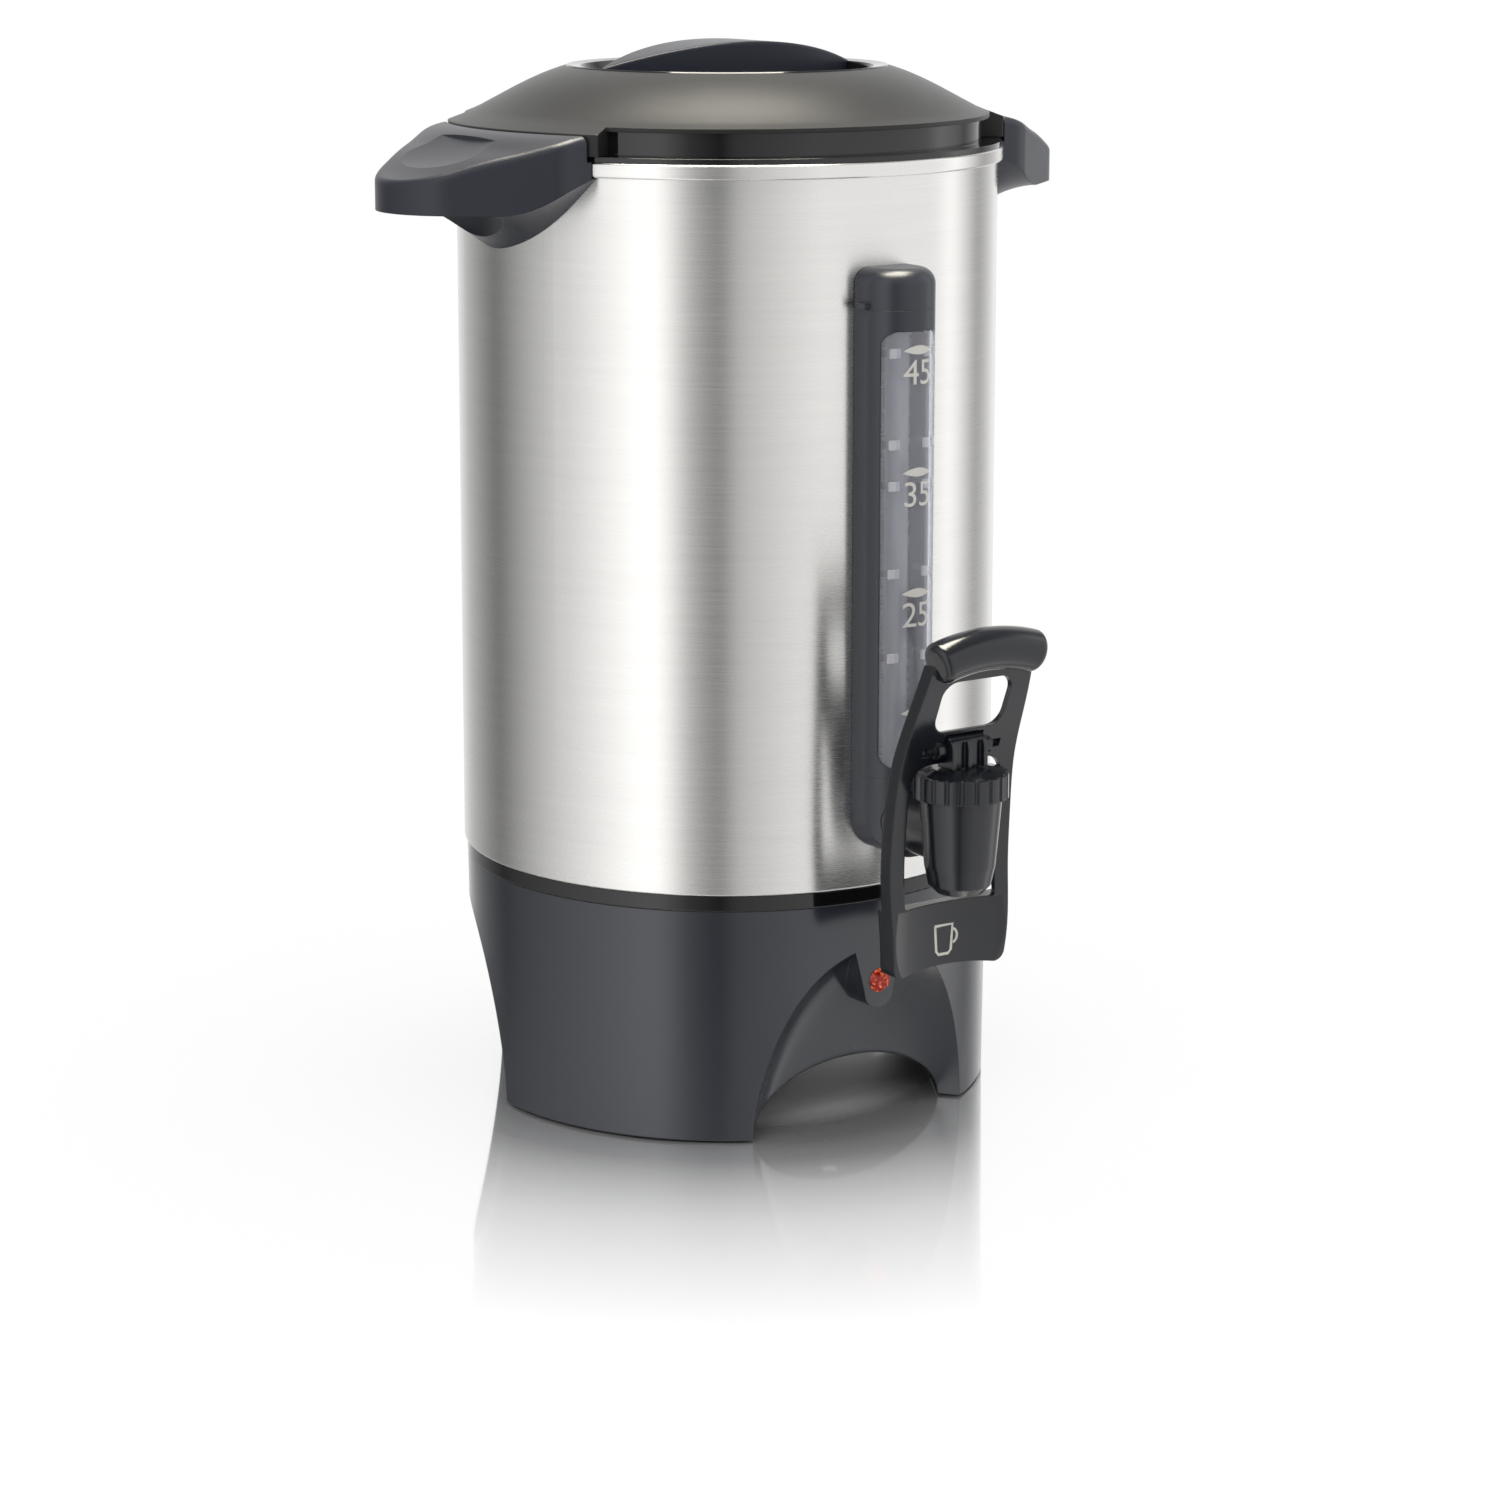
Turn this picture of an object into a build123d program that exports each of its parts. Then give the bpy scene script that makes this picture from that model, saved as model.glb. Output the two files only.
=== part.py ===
from build123d import *
import math
import os

os.makedirs("parts", exist_ok=True)

# Coffee urn, millimetres. The origin is on the floor under the middle of the steel body,
# +Z is up, the tap and the level gauge face -Y and the side handles point along X.

# Clearances and sheet thicknesses shared by several pieces
FIT = 0.1
RUNNING_FIT = 0.05
LIFT_GAP = 0.3
PLASTIC = 2.5
SHEET = 0.8

# Steel body
TANK_R = 102.5
TANK_HEIGHT = 267.1
RIM_PROUD = 2.0
RIM_H = 5.5

# Base shell
BASE_BOTTOM_Z = 0.8
BASE_TOP_Z = 89.0
BASE_SET_IN = 2.1
BASE_FLARE = 0.9
BASE_EDGE_R = 0.6
RING_H = 6.2
RING_SET_IN = 1.0
RING_W = 7.5
DECK_T = 3.0
DECK_LIP = 8.0
NICHE_ANGLES = (0, 120, 240)
LEG_ANGLES = (60, 180, 300)
NICHE_DEPTH = 19.4
LEG_DEPTH = 22.66
NICHE_INNER_H = 23.6
NICHE_RISE = 54.3
NICHE_SOFTNESS = 9.3
NICHE_SPREAD = 0.68
NICHE_SPREAD_MORE = 0.01
NICHE_SECTIONS = 6
NICHE_BEYOND = 4.0
COVER_T = 2.5
COVER_SCREW_IN = 11.0
COVER_SCREW_R = 1.5
COVER_SCREW_L = 12.0
VENT_R = 2.0
VENT_ROW_RADII = (30.0, 44.0)
VENT_COUNT = 12
SCREW_HEAD_R = 3.0
SCREW_HEAD_H = 1.8
BOSS_R = 4.5
FOOT_R = 7.0
FOOT_IN = 12.4
FOOT_SUNK = 0.8
FOOT_STEM_R = 2.4
FOOT_STEM_H = 4.5
STUD_IN = 10.0
STUD_R = 2.0
STUD_L = 17.0
STUD_NUT_R = 4.0
STUD_NUT_H = 3.5

# Lamp lug at the front of the base
LUG_HALF_WIDTH = 11.7
LUG_TOP_ABOVE = 16.0
LUG_TIP_BELOW = 10.6
LUG_TIP_R = 6.5
LUG_DEPTH = 13.6
LAMP_BELOW = 30.9
LENS_R = 4.8
LENS_PROUD = 2.2
LENS_FACETS = 8
LENS_TAPER = 35.0
LENS_SLEEVE_R = 4.0
LENS_SLEEVE_L = 6.5
LENS_FRONT_T = 1.5
LAMP_R = 3.0
LAMP_L = 7.0

# Power inlet at the back of the base
INLET_BELOW = 29.0
INLET_HALF_WIDTH = 11.0
INLET_HALF_H = 8.0
INLET_WALL = 2.0
INLET_DEPTH = 22.0
INLET_SET_IN = 1.5
INLET_FLANGE_OVER = 8.0
INLET_FLANGE_T = 2.5
INLET_PAD_T = 4.5
INLET_PAD_OVER = 2.0
INLET_FLANGE_RISE = 1.0
PIN_R = 2.0
PIN_SPACING = 9.0
PIN_L = 24.0
PIN_BEHIND_MOUTH = 4.0
INLET_SCREW_R = 1.5
INLET_SCREW_L = 10.0

# Heating parts under the steel body
WELL_R = 27.0
WELL_DEPTH = 24.0
WELL_FLANGE_R = 36.0
BREW_HEATER_T = 7.0
BREW_HEATER_H = 11.0
BREW_HEATER_UP = 1.0
WARM_HEATER_W = 24.0
WARM_HEATER_TO_STUDS = 18.0
WARM_HEATER_T = 4.0
SHIELD_TO_DECK = 6.0
SHIELD_DOWN = 15.0
SHIELD_RIM_H = 14.0
WELL_STUD_R = 3.0
WELL_STUD_L = 22.0
WELL_NUT_R = 5.8
WELL_NUT_H = 4.0
THERMOSTAT_R = 8.0
THERMOSTAT_X = 16.0
FUSE_R = 2.2
FUSE_L = 24.0

# Side handles, measured out from the steel body and up or down from its top
HANDLE_HALF_WIDTH = 50.0
HANDLE_CORNER_OUT = 0.8
HANDLE_CORNER_R = 12.0
HANDLE_TIP_R = 31.0
HANDLE_TIP_OUT = 14.5
HANDLE_EDGE_R = 3.0
HANDLE_LOW_BELOW = 18.8
HANDLE_SLOPE_OUT = 21.0
HANDLE_TOP = (
    (-14.5, 10.3),
    (-5.0, 10.1),
    (4.0, 9.4),
    (7.5, 8.7),
    (12.3, 6.9),
    (18.0, 4.0),
    (23.4, 1.9),
    (29.0, -0.5),
    (35.2, -3.4),
    (47.0, -7.4),
)
HANDLE_SWEEP = 120.0
APRON_IN = -12.5
APRON = ((50.0, 4.3), (35.0, 21.3), (18.0, 36.4), (0.0, 43.0))
HANDLE_EAR_GAP = 0.9
DIP_OUT = 19.9
DIP_UP = 5.9
DIP_AXES = (20.0, 34.0, 4.0)
DIP_LEAN = 24.0
DIP_IN = 11.0
POCKET_OUT = 20.0
POCKET_AXES = (14.5, 30.0, 15.0)
POCKET_BELOW = 23.3
HANDLE_SCREW_ANGLE = 17.0
HANDLE_SCREW_BELOW = 16.3
HANDLE_SCREW_R = 2.0
HANDLE_SCREW_L = 10.0
HANDLE_SCREW_HEAD_R = 4.0
HANDLE_SCREW_HEAD_T = 2.0

# Level gauge: its foot and seam are measured from the tap's shank, its screws and clips from its top
GAUGE_R = 14.1
GAUGE_OUT = 5.5
GAUGE_WALL = 2.2
GAUGE_BOTTOM_BELOW = 13.5
GAUGE_SEAM_UP = 15.9
GAUGE_TOP_BELOW = 51.8
GAUGE_TOP_WALL = 5.5
GAUGE_BOTTOM_CORNER_R = 13.0
CAP_H = 14.5
CAP_EDGE_R = 6.0
CAP_TAB = 1.8
CAP_TAB_H = 2.4
CAP_TAB_L = 5.0
WINDOW_HALF_WIDTH = 12.0
WINDOW_TO_SEAM = 4.0
WINDOW_TO_TOP = 7.5
WINDOW_CORNER_R = 5.0
WINDOW_T = 1.8
CLIPS_BELOW = (126.5, 95.5, 63.5, 48.5, 15.5)
CLIP_H = 2.2
CLIP_T = 1.4
CLIP_L = 7.0
TUBE_R = 4.5
TUBE_BORE_R = 3.4
TUBE_OUT = 6.5
TUBE_ABOVE = 3.5
TUBE_SEAT = 6.2
SEAL_R = 6.6
SEAL_H = 4.0
GAUGE_SCREW_BELOW = 2.7
GAUGE_SCREW_R = 1.2
GAUGE_SCREW_L = 5.5
GAUGE_SCREW_X = 10.0

# Tap, measured out from the steel body and up or down from its shank
TAP_OUT = 46.4
SHANK_UP = 28.3
SHANK_R = 7.5
SHANK_BORE_R = 5.0
SHANK_INSIDE = 12.5
SHANK_BOSS_R = 11.5
FEED_R = 2.2
GASKET_R = 12.0
GASKET_T = 3.2
SHANK_NUT_R = 13.0
SHANK_NUT_T = 6.0
TAP_TOP_UP = 14.9
TAP_TOP_R = 15.1
TAP_MID_BELOW = 10.5
TAP_MID_R = 12.9
TAP_LOW_BELOW = 17.5
TAP_LOW_R = 11.4
TAP_BOTTOM_BELOW = 20.5
CHAMBER_R = 9.6
SEAT_BELOW = 11.5
OUTLET_R = 6.0
BONNET_R = 17.3
BONNET_H = 10.6
BONNET_SHOULDER = 1.8
BONNET_TOP_R = 10.5
BONNET_SPIGOT_H = 6.0
KNURLS = 20
KNURL_R = 0.9
SPRING_POCKET_R = 6.0
SPRING_POCKET_TOP = 3.0
CUP_R = 8.2
CUP_H = 6.5
CUP_EDGE_R = 2.0
CUP_SOCKET = 4.0
STEM_R = 2.2
STEM_IN_HEAD = 3.2
SPRING_R = 4.2
SPRING_WIRE_R = 0.55
SPRING_TURNS = 7
SPRING_END_GAP = 0.1
HEAD_HALF_WIDTH = 7.8
HEAD_FRONT = 5.6
HEAD_BACK = 3.2
RIB_W = 1.6
RIB_DEPTH = 2.2
HEAD_TOP_BAR = 2.4
PIVOT_UP = 7.0
LEVER_PIN_R = 1.6

# Lever frame, measured from its pivot
LEVER_FRONT = (
    (6.1, -84.5),
    (4.7, -66.0),
    (5.8, -48.0),
    (4.6, -26.0),
    (1.6, -6.0),
    (-5.7, 14.0),
    (-13.1, 34.0),
)
LEVER_HALF_WIDTH = ((24.6, -84.5), (26.7, -48.0), (25.6, -6.0), (23.4, 24.0), (21.8, 36.0))
LEVER_DEPTH = 6.0
LEVER_SKIN = 2.2
LEVER_RAIL = 3.0
PAD_TOP_BELOW = 59.0
PAD_DEPTH = 8.4
PAD_SCOOP = 4.5
PAD_ARCH = 2.0
PAD_CORNER_R = 4.0
LOWER_WINDOW_HALF_WIDTH = 20.5
LOWER_WINDOW_TOP_BELOW = 5.0
LOWER_WINDOW_TOP_R = 8.0
LOWER_WINDOW_LOW_R = 2.0
UPPER_WINDOW_HALF_WIDTH = 15.5
UPPER_WINDOW_LOW_UP = 7.4
UPPER_WINDOW_TOP_UP = 27.0
UPPER_WINDOW_R = 6.0
HEAD_SIDE_GAP = 0.5
HEAD_OVER_GAP = 0.3
EAR_T = 3.5
EAR_R = 3.2
WEB_BEHIND = 5.4
WEB_T = 2.1
WEB_H = 7.0
GRIP_HALF_L = 22.2
GRIP_R = 7.75
GRIP_FORWARD = 14.1
GRIP_UP = 38.5
GRIP_ARCH = 3.5
GRIP_END_R = 2.4

# Lid
LID_FLANGE_OUT = 1.3
LID_FLANGE_T = 2.0
LID_SPIGOT_GAP = 0.8
LID_SPIGOT_H = 9.5
LID_BAND_IN = 5.7
LID_BAND_H = 10.3
LID_RIM_OVER = 2.4
LID_RIM_H = 1.6
DISH_IN = 41.5
DISH_RIM_UP = 19.0
# dome's section as shares of the way in from rim to dish and of the rise
DOME_SHARES = ((0.82, 0.87), (0.508, 0.56), (0.264, 0.275), (0.06, 0.05))
DISH_LEDGE_W = 4.0
DISH_DEPTH = 11.0
DISH_SLOPE_W = 19.0
DISH_BEAD = 0.5
LID_EAR_OVER = 2.8
LID_EAR_OUT = 6.4
LID_EAR_DROP = 2.4
LID_EAR_WALL = 2.4
LID_EAR_EDGE_R = 0.6
GRIP_FIN_TO_DISH = 3.5
GRIP_FIN_HALF_W = 15.0
GRIP_FIN_TOP_UP = 9.4
GRIP_FIN_FALL = 9.5
GRIP_FIN_EDGE_R = 1.2
LID_SCREW_IN = 4.8
LID_SCREW_ANGLES = (45, 135, 225, 315)
LID_SCREW_R = 1.5
LID_SCREW_L = 12.0
LID_BOSS_R = 4.0

# Coffee basket
BASKET_R = 70.0
BASKET_FOOT_BELOW = 100.3
BASKET_H = 60.0
BASKET_HUB_R = 9.0
BASKET_HUB_H = 22.0
BASKET_COVER_IN = 3.0
BASKET_COVER_LIP = 5.0
BASKET_COVER_KNOB_H = 10.0
DRAIN_R = 1.4
DRAIN_ROW_RADII = (22.0, 34.0, 46.0, 58.0)
DRAIN_COUNTS = (8, 14, 18, 22)
PUMP_R = 4.8
PUMP_TOP_BELOW = 24.3
PUMP_COLLAR_R = 8.0
PUMP_COLLAR_H = 3.0
PUMP_FOOT_R = 24.0
PUMP_FOOT_H = 12.0
PUMP_FOOT_T = 1.2
PUMP_FOOT_SLOPE_H = 7.2
PUMP_NECK_H = 6.0
PUMP_SLOT_HALF_W = 2.0
PUMP_SLOT_H = 1.5
VALVE_R = 10.0
VALVE_T = 1.0

# Heights that follow from the sizes above
RING_TOP_Z = BASE_TOP_Z + RING_H
TANK_TOP_Z = RING_TOP_Z + TANK_HEIGHT
DECK_Z = BASE_TOP_Z - DECK_T
COVER_TOP_Z = NICHE_INNER_H + PLASTIC + COVER_T
LAMP_Z = BASE_TOP_Z - LAMP_BELOW
INLET_Z = BASE_TOP_Z - INLET_BELOW
WELL_FLOOR_Z = RING_TOP_Z - WELL_DEPTH
HANDLE_LOW_Z = TANK_TOP_Z - HANDLE_LOW_BELOW
HANDLE_SCREW_Z = TANK_TOP_Z - HANDLE_SCREW_BELOW
SHANK_Z = RING_TOP_Z + SHANK_UP
GAUGE_BOTTOM_Z = SHANK_Z - GAUGE_BOTTOM_BELOW
GAUGE_SEAM_Z = SHANK_Z + GAUGE_SEAM_UP
GAUGE_TOP_Z = TANK_TOP_Z - GAUGE_TOP_BELOW
GAUGE_SCREW_Z = GAUGE_TOP_Z - GAUGE_SCREW_BELOW
WINDOW_LOW_Z = GAUGE_SEAM_Z + WINDOW_TO_SEAM
WINDOW_HIGH_Z = GAUGE_TOP_Z - WINDOW_TO_TOP
SEAT_Z = SHANK_Z - SEAT_BELOW
TAP_TOP_Z = SHANK_Z + TAP_TOP_UP
TAP_BOTTOM_Z = SHANK_Z - TAP_BOTTOM_BELOW
BONNET_TOP_Z = TAP_TOP_Z + BONNET_H
HEAD_Z = BONNET_TOP_Z + LIFT_GAP
PIVOT_Z = BONNET_TOP_Z + PIVOT_UP
PAD_TOP_Z = PIVOT_Z - PAD_TOP_BELOW
BAND_Z = TANK_TOP_Z + LID_FLANGE_T
DOME_Z = BAND_Z + LID_BAND_H - LID_RIM_H
DISH_RIM_Z = DOME_Z + DISH_RIM_UP
DISH_FLOOR_Z = DISH_RIM_Z - DISH_DEPTH
SPIGOT_Z = TANK_TOP_Z - LID_SPIGOT_H
BASKET_FOOT_Z = TANK_TOP_Z - BASKET_FOOT_BELOW
PUMP_TOP_Z = TANK_TOP_Z - PUMP_TOP_BELOW

# Radii and distances that follow from the sizes above
BASE_R = TANK_R - BASE_SET_IN
BASE_R_TOP = BASE_R + BASE_FLARE
RING_R = TANK_R - RING_SET_IN
RING_BORE_R = RING_R - RING_W
TANK_BORE_R = TANK_R - SHEET
RIM_R = TANK_R + RIM_PROUD
NICHE_PLANE = BASE_R - NICHE_DEPTH
LEG_PLANE = BASE_R - LEG_DEPTH
# the vaults' inner ends meet the legs' inner walls, which face 60 degrees away
NICHE_INNER_HALF_WIDTH = (LEG_PLANE - NICHE_PLANE / 2) / math.sin(math.radians(60))
COVER_SCREW_RADIUS = NICHE_PLANE - COVER_SCREW_IN
DECK_BORE_R = COVER_SCREW_RADIUS - DECK_LIP
FOOT_RADIUS = BASE_R - FOOT_IN
STUD_RADIUS = RING_BORE_R - STUD_IN
WARM_HEATER_R_OUT = STUD_RADIUS - WARM_HEATER_TO_STUDS
WARM_HEATER_R_IN = WARM_HEATER_R_OUT - WARM_HEATER_W
SHIELD_R = DECK_BORE_R - SHIELD_TO_DECK
GAUGE_Y = -(TANK_R + GAUGE_OUT)
TUBE_Y = -(TANK_R + TUBE_OUT)
TAP_Y = -(TANK_R + TAP_OUT)
SPIGOT_R = TANK_BORE_R - LID_SPIGOT_GAP
LID_FLANGE_R = TANK_R + LID_FLANGE_OUT
LID_BAND_R = TANK_R - LID_BAND_IN
LID_RIM_R = LID_BAND_R + LID_RIM_OVER
LID_EAR_R = LID_RIM_R + LID_EAR_OUT
EAR_SPREAD = 2 * math.degrees(math.asin((HANDLE_HALF_WIDTH + LID_EAR_OVER) / LID_EAR_R))
LID_SCREW_RADIUS = LID_BAND_R - LID_SCREW_IN
DISH_R = TANK_R - DISH_IN
DISH_FLOOR_R = DISH_R - DISH_SLOPE_W
BASKET_COVER_R = BASKET_R - BASKET_COVER_IN


def disc(radius, low, high, x=0.0, y=0.0):
    """Upright cylinder between two heights."""
    return Pos(x, y, (low + high) / 2) * Cylinder(radius, high - low)


def tube(outer, inner, low, high, x=0.0, y=0.0):
    """Upright tube between two heights."""
    return disc(outer, low, high, x, y) - disc(inner, low - 1, high + 1, x, y)


def rod_y(radius, back, front, x=0.0, z=0.0):
    """Cylinder along Y."""
    return Pos(x, (back + front) / 2, z) * Rot(90, 0, 0) * Cylinder(radius, abs(front - back))


def rod_x(radius, left, right, y=0.0, z=0.0):
    """Cylinder along X."""
    return Pos((left + right) / 2, y, z) * Rot(0, 90, 0) * Cylinder(radius, right - left)


def block(left, right, front, back, low, high):
    """Box given by its six sides."""
    size = Box(right - left, back - front, high - low)
    return Pos((left + right) / 2, (front + back) / 2, (low + high) / 2) * size


def hexagon(radius, low, high, x=0.0, y=0.0):
    """Upright hexagonal prism."""
    return extrude(Pos(x, y, low) * RegularPolygon(radius, 6), high - low)


def turned(points):
    """Solid of revolution about Z of a closed outline of (radius, height) points."""
    return revolve(Plane.XZ * make_face(Polyline(*points, close=True)), Axis.Z)


def around(shape, angles):
    """Copies of a shape turned about Z."""
    return [Rot(0, 0, angle) * shape for angle in angles]


def ring_of_holes(radius, low, high, ring_radii, counts):
    """Upright round holes on rings about Z."""
    holes = []
    for ring_r, count in zip(ring_radii, counts):
        for index in range(count):
            turn = 2 * math.pi * index / count
            holes.append(disc(radius, low, high, ring_r * math.cos(turn), ring_r * math.sin(turn)))
    return holes


def save(name, shape):
    """Writes one node."""
    if isinstance(shape, list):
        shape = Compound(children=shape)
    export_step(shape, f"parts/{name}.step")


# ---- base ----


def niche(grow):
    """Vault cut under one arch, as a loft of upright ellipses that widen and rise outwards."""
    reach = NICHE_DEPTH + NICHE_BEYOND
    sections = Sketch()
    for index in range(NICHE_SECTIONS):
        out = reach * index / (NICHE_SECTIONS - 1)
        rise = NICHE_RISE * (1 - math.exp(-out / NICHE_SOFTNESS))
        spread = NICHE_SPREAD * out + NICHE_SPREAD_MORE * out * out
        plane = Plane(origin=(0, -(NICHE_PLANE + out), 0), x_dir=(1, 0, 0), z_dir=(0, -1, 0))
        half = NICHE_INNER_HALF_WIDTH + spread + grow
        sections += plane * Ellipse(half, NICHE_INNER_H + rise + grow)
    return loft(sections)


def opening_prism(grow, low, high):
    """Six-sided opening in the underside, with its corners at the ends of the vaults."""
    corner = math.hypot(NICHE_INNER_HALF_WIDTH, NICHE_PLANE)
    half_angle = math.degrees(math.atan2(NICHE_INNER_HALF_WIDTH, NICHE_PLANE))
    points = []
    for angle in NICHE_ANGLES:
        for side in (-half_angle, half_angle):
            turn = math.radians(angle + side - 90)
            points.append((corner * math.cos(turn), corner * math.sin(turn)))
    face = make_face(Polyline(*points, close=True))
    face = offset(face, grow, kind=Kind.INTERSECTION) if grow else face
    return extrude(Pos(0, 0, low) * face, high - low)


def lug_outline(shrink, top_up):
    """Front outline of the lamp lug: wide at the top, with a round tip below."""
    top = LAMP_Z + LUG_TOP_ABOVE + top_up
    tip = LAMP_Z - LUG_TIP_BELOW + LUG_TIP_R
    half = LUG_HALF_WIDTH - shrink
    radius = LUG_TIP_R - shrink
    flare = make_face(
        Polyline((-half, top), (half, top), (radius, tip), (-radius, tip), close=True)
    )
    return flare + Pos(0, tip) * Circle(radius)


def lug(shrink, top_up, front, back):
    """Lug outline run along Y."""
    plane = Plane(origin=(0, back, 0), x_dir=(1, 0, 0), z_dir=(0, -1, 0))
    return extrude(plane * lug_outline(shrink, top_up), back - front)


def base_outer(grow):
    """Outer form of the base, a slight cone."""
    return turned(
        [
            (0, BASE_BOTTOM_Z),
            (BASE_R + grow, BASE_BOTTOM_Z),
            (BASE_R_TOP + grow, BASE_TOP_Z),
            (0, BASE_TOP_Z),
        ]
    )


def make_base_shell():
    floor_top = BASE_BOTTOM_Z + PLASTIC
    room = base_outer(-PLASTIC) & disc(TANK_R, floor_top, DECK_Z)
    leg_wall = opening_prism(PLASTIC, 0, COVER_TOP_Z)
    outer = base_outer(0)
    outer = fillet(outer.edges().group_by(Axis.Z)[0], BASE_EDGE_R)
    shell = outer - (room - leg_wall - around(niche(PLASTIC), NICHE_ANGLES))
    shell -= around(niche(0), NICHE_ANGLES)
    shell -= opening_prism(0, 0, COVER_TOP_Z)
    shell -= disc(DECK_BORE_R, COVER_TOP_Z, BASE_TOP_Z + 1)
    lug_back = -(BASE_R - LUG_DEPTH)
    shell += lug(0, 0, -TANK_R, lug_back) & outer
    shell -= lug(PLASTIC, 0, -(BASE_R - PLASTIC), lug_back - PLASTIC)
    shell -= rod_y(LENS_SLEEVE_R + FIT, -TANK_R, lug_back - PLASTIC, 0, LAMP_Z)
    # screw bosses for the underside cover and holes for the studs of the steel body
    boss = disc(BOSS_R, COVER_TOP_Z, DECK_Z, 0, -COVER_SCREW_RADIUS)
    pilot = disc(COVER_SCREW_R + FIT, COVER_TOP_Z - 1, COVER_TOP_Z + COVER_SCREW_L, 0, -COVER_SCREW_RADIUS)
    shell += around(boss, NICHE_ANGLES)
    shell -= around(pilot, NICHE_ANGLES)
    shell -= around(disc(STUD_R + FIT, DECK_Z - 1, BASE_TOP_Z + 1, 0, -STUD_RADIUS), NICHE_ANGLES)
    # seats of the rubber feet
    seat = disc(FOOT_R + FIT, 0, BASE_BOTTOM_Z + FOOT_SUNK, 0, -FOOT_RADIUS)
    seat += disc(FOOT_STEM_R + FIT, 0, floor_top + 1, 0, -FOOT_RADIUS)
    shell -= around(seat, LEG_ANGLES)
    # flat pad behind the power inlet
    pad_half = INLET_HALF_WIDTH + INLET_FLANGE_OVER
    pad_z = INLET_HALF_H + INLET_PAD_OVER
    pad = block(-pad_half, pad_half, inlet_flange_y(), BASE_R, INLET_Z - pad_z, INLET_Z + pad_z)
    shell += pad & base_outer(-PLASTIC / 2)
    half = INLET_HALF_WIDTH + FIT
    high = INLET_HALF_H + FIT
    shell -= block(-half, half, inlet_flange_y() - 1, TANK_R, INLET_Z - high, INLET_Z + high)
    for x in inlet_screw_xs():
        shell -= rod_y(INLET_SCREW_R + FIT, inlet_flange_y() - 1, TANK_R, x, INLET_Z)
        shell -= rod_y(SCREW_HEAD_R + FIT, inlet_mouth_y() - SCREW_HEAD_H, TANK_R, x, INLET_Z)
    return shell


def make_base_ring():
    ring = tube(RING_R, RING_BORE_R, BASE_TOP_Z, RING_TOP_Z)
    outer = ring.edges().filter_by(GeomType.CIRCLE).filter_by(lambda e: e.radius > RING_BORE_R + FIT)
    return fillet(outer, BASE_EDGE_R)


def make_bottom_cover():
    cover = opening_prism(-LIFT_GAP, COVER_TOP_Z - COVER_T, COVER_TOP_Z)
    hole = disc(COVER_SCREW_R + FIT, 0, BASE_TOP_Z, 0, -COVER_SCREW_RADIUS)
    cover -= around(hole, NICHE_ANGLES)
    return cover - ring_of_holes(VENT_R, 0, BASE_TOP_Z, VENT_ROW_RADII, [VENT_COUNT] * len(VENT_ROW_RADII))


def make_cover_screws():
    low = COVER_TOP_Z - COVER_T
    screw = disc(COVER_SCREW_R, low, COVER_TOP_Z + COVER_SCREW_L - 1, 0, -COVER_SCREW_RADIUS)
    screw += disc(SCREW_HEAD_R, low - SCREW_HEAD_H, low, 0, -COVER_SCREW_RADIUS)
    return around(screw, NICHE_ANGLES)


def make_rubber_feet():
    top = BASE_BOTTOM_Z + FOOT_SUNK
    foot = disc(FOOT_R, 0, top, 0, -FOOT_RADIUS)
    foot += disc(FOOT_STEM_R, top, top + FOOT_STEM_H, 0, -FOOT_RADIUS)
    return around(foot, LEG_ANGLES)


def make_tank_studs():
    stud = disc(STUD_R, RING_TOP_Z - STUD_L, RING_TOP_Z, 0, -STUD_RADIUS)
    return around(stud, NICHE_ANGLES)


def make_stud_nuts():
    nut = hexagon(STUD_NUT_R, DECK_Z - STUD_NUT_H, DECK_Z, 0, -STUD_RADIUS)
    nut -= disc(STUD_R + RUNNING_FIT, 0, BASE_TOP_Z, 0, -STUD_RADIUS)
    return around(nut, NICHE_ANGLES)


def lens_face_y():
    """Back of the lens, just clear of the conical base."""
    share = (LAMP_Z + LENS_R - BASE_BOTTOM_Z) / (BASE_TOP_Z - BASE_BOTTOM_Z)
    return -(BASE_R + share * BASE_FLARE + RUNNING_FIT)


def make_indicator_lens():
    face_y = lens_face_y()
    plane = Plane(origin=(0, face_y, LAMP_Z), x_dir=(1, 0, 0), z_dir=(0, -1, 0))
    dome = extrude(plane * RegularPolygon(LENS_R, LENS_FACETS), LENS_PROUD, taper=LENS_TAPER)
    sleeve = rod_y(LENS_SLEEVE_R, face_y, face_y + LENS_SLEEVE_L, 0, LAMP_Z)
    bore = rod_y(LAMP_R + FIT, face_y + LENS_FRONT_T, face_y + LENS_SLEEVE_L + 1, 0, LAMP_Z)
    return dome + (sleeve - bore)


def make_indicator_lamp():
    front = lens_face_y() + LENS_SLEEVE_L / 2
    return rod_y(LAMP_R, front, front + LAMP_L, 0, LAMP_Z)


# ---- power inlet ----


def inlet_mouth_y():
    return BASE_R - INLET_SET_IN


def inlet_flange_y():
    return inlet_mouth_y() - INLET_PAD_T


def inlet_screw_xs():
    x = INLET_HALF_WIDTH + INLET_FLANGE_OVER / 2
    return (-x, x)


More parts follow.
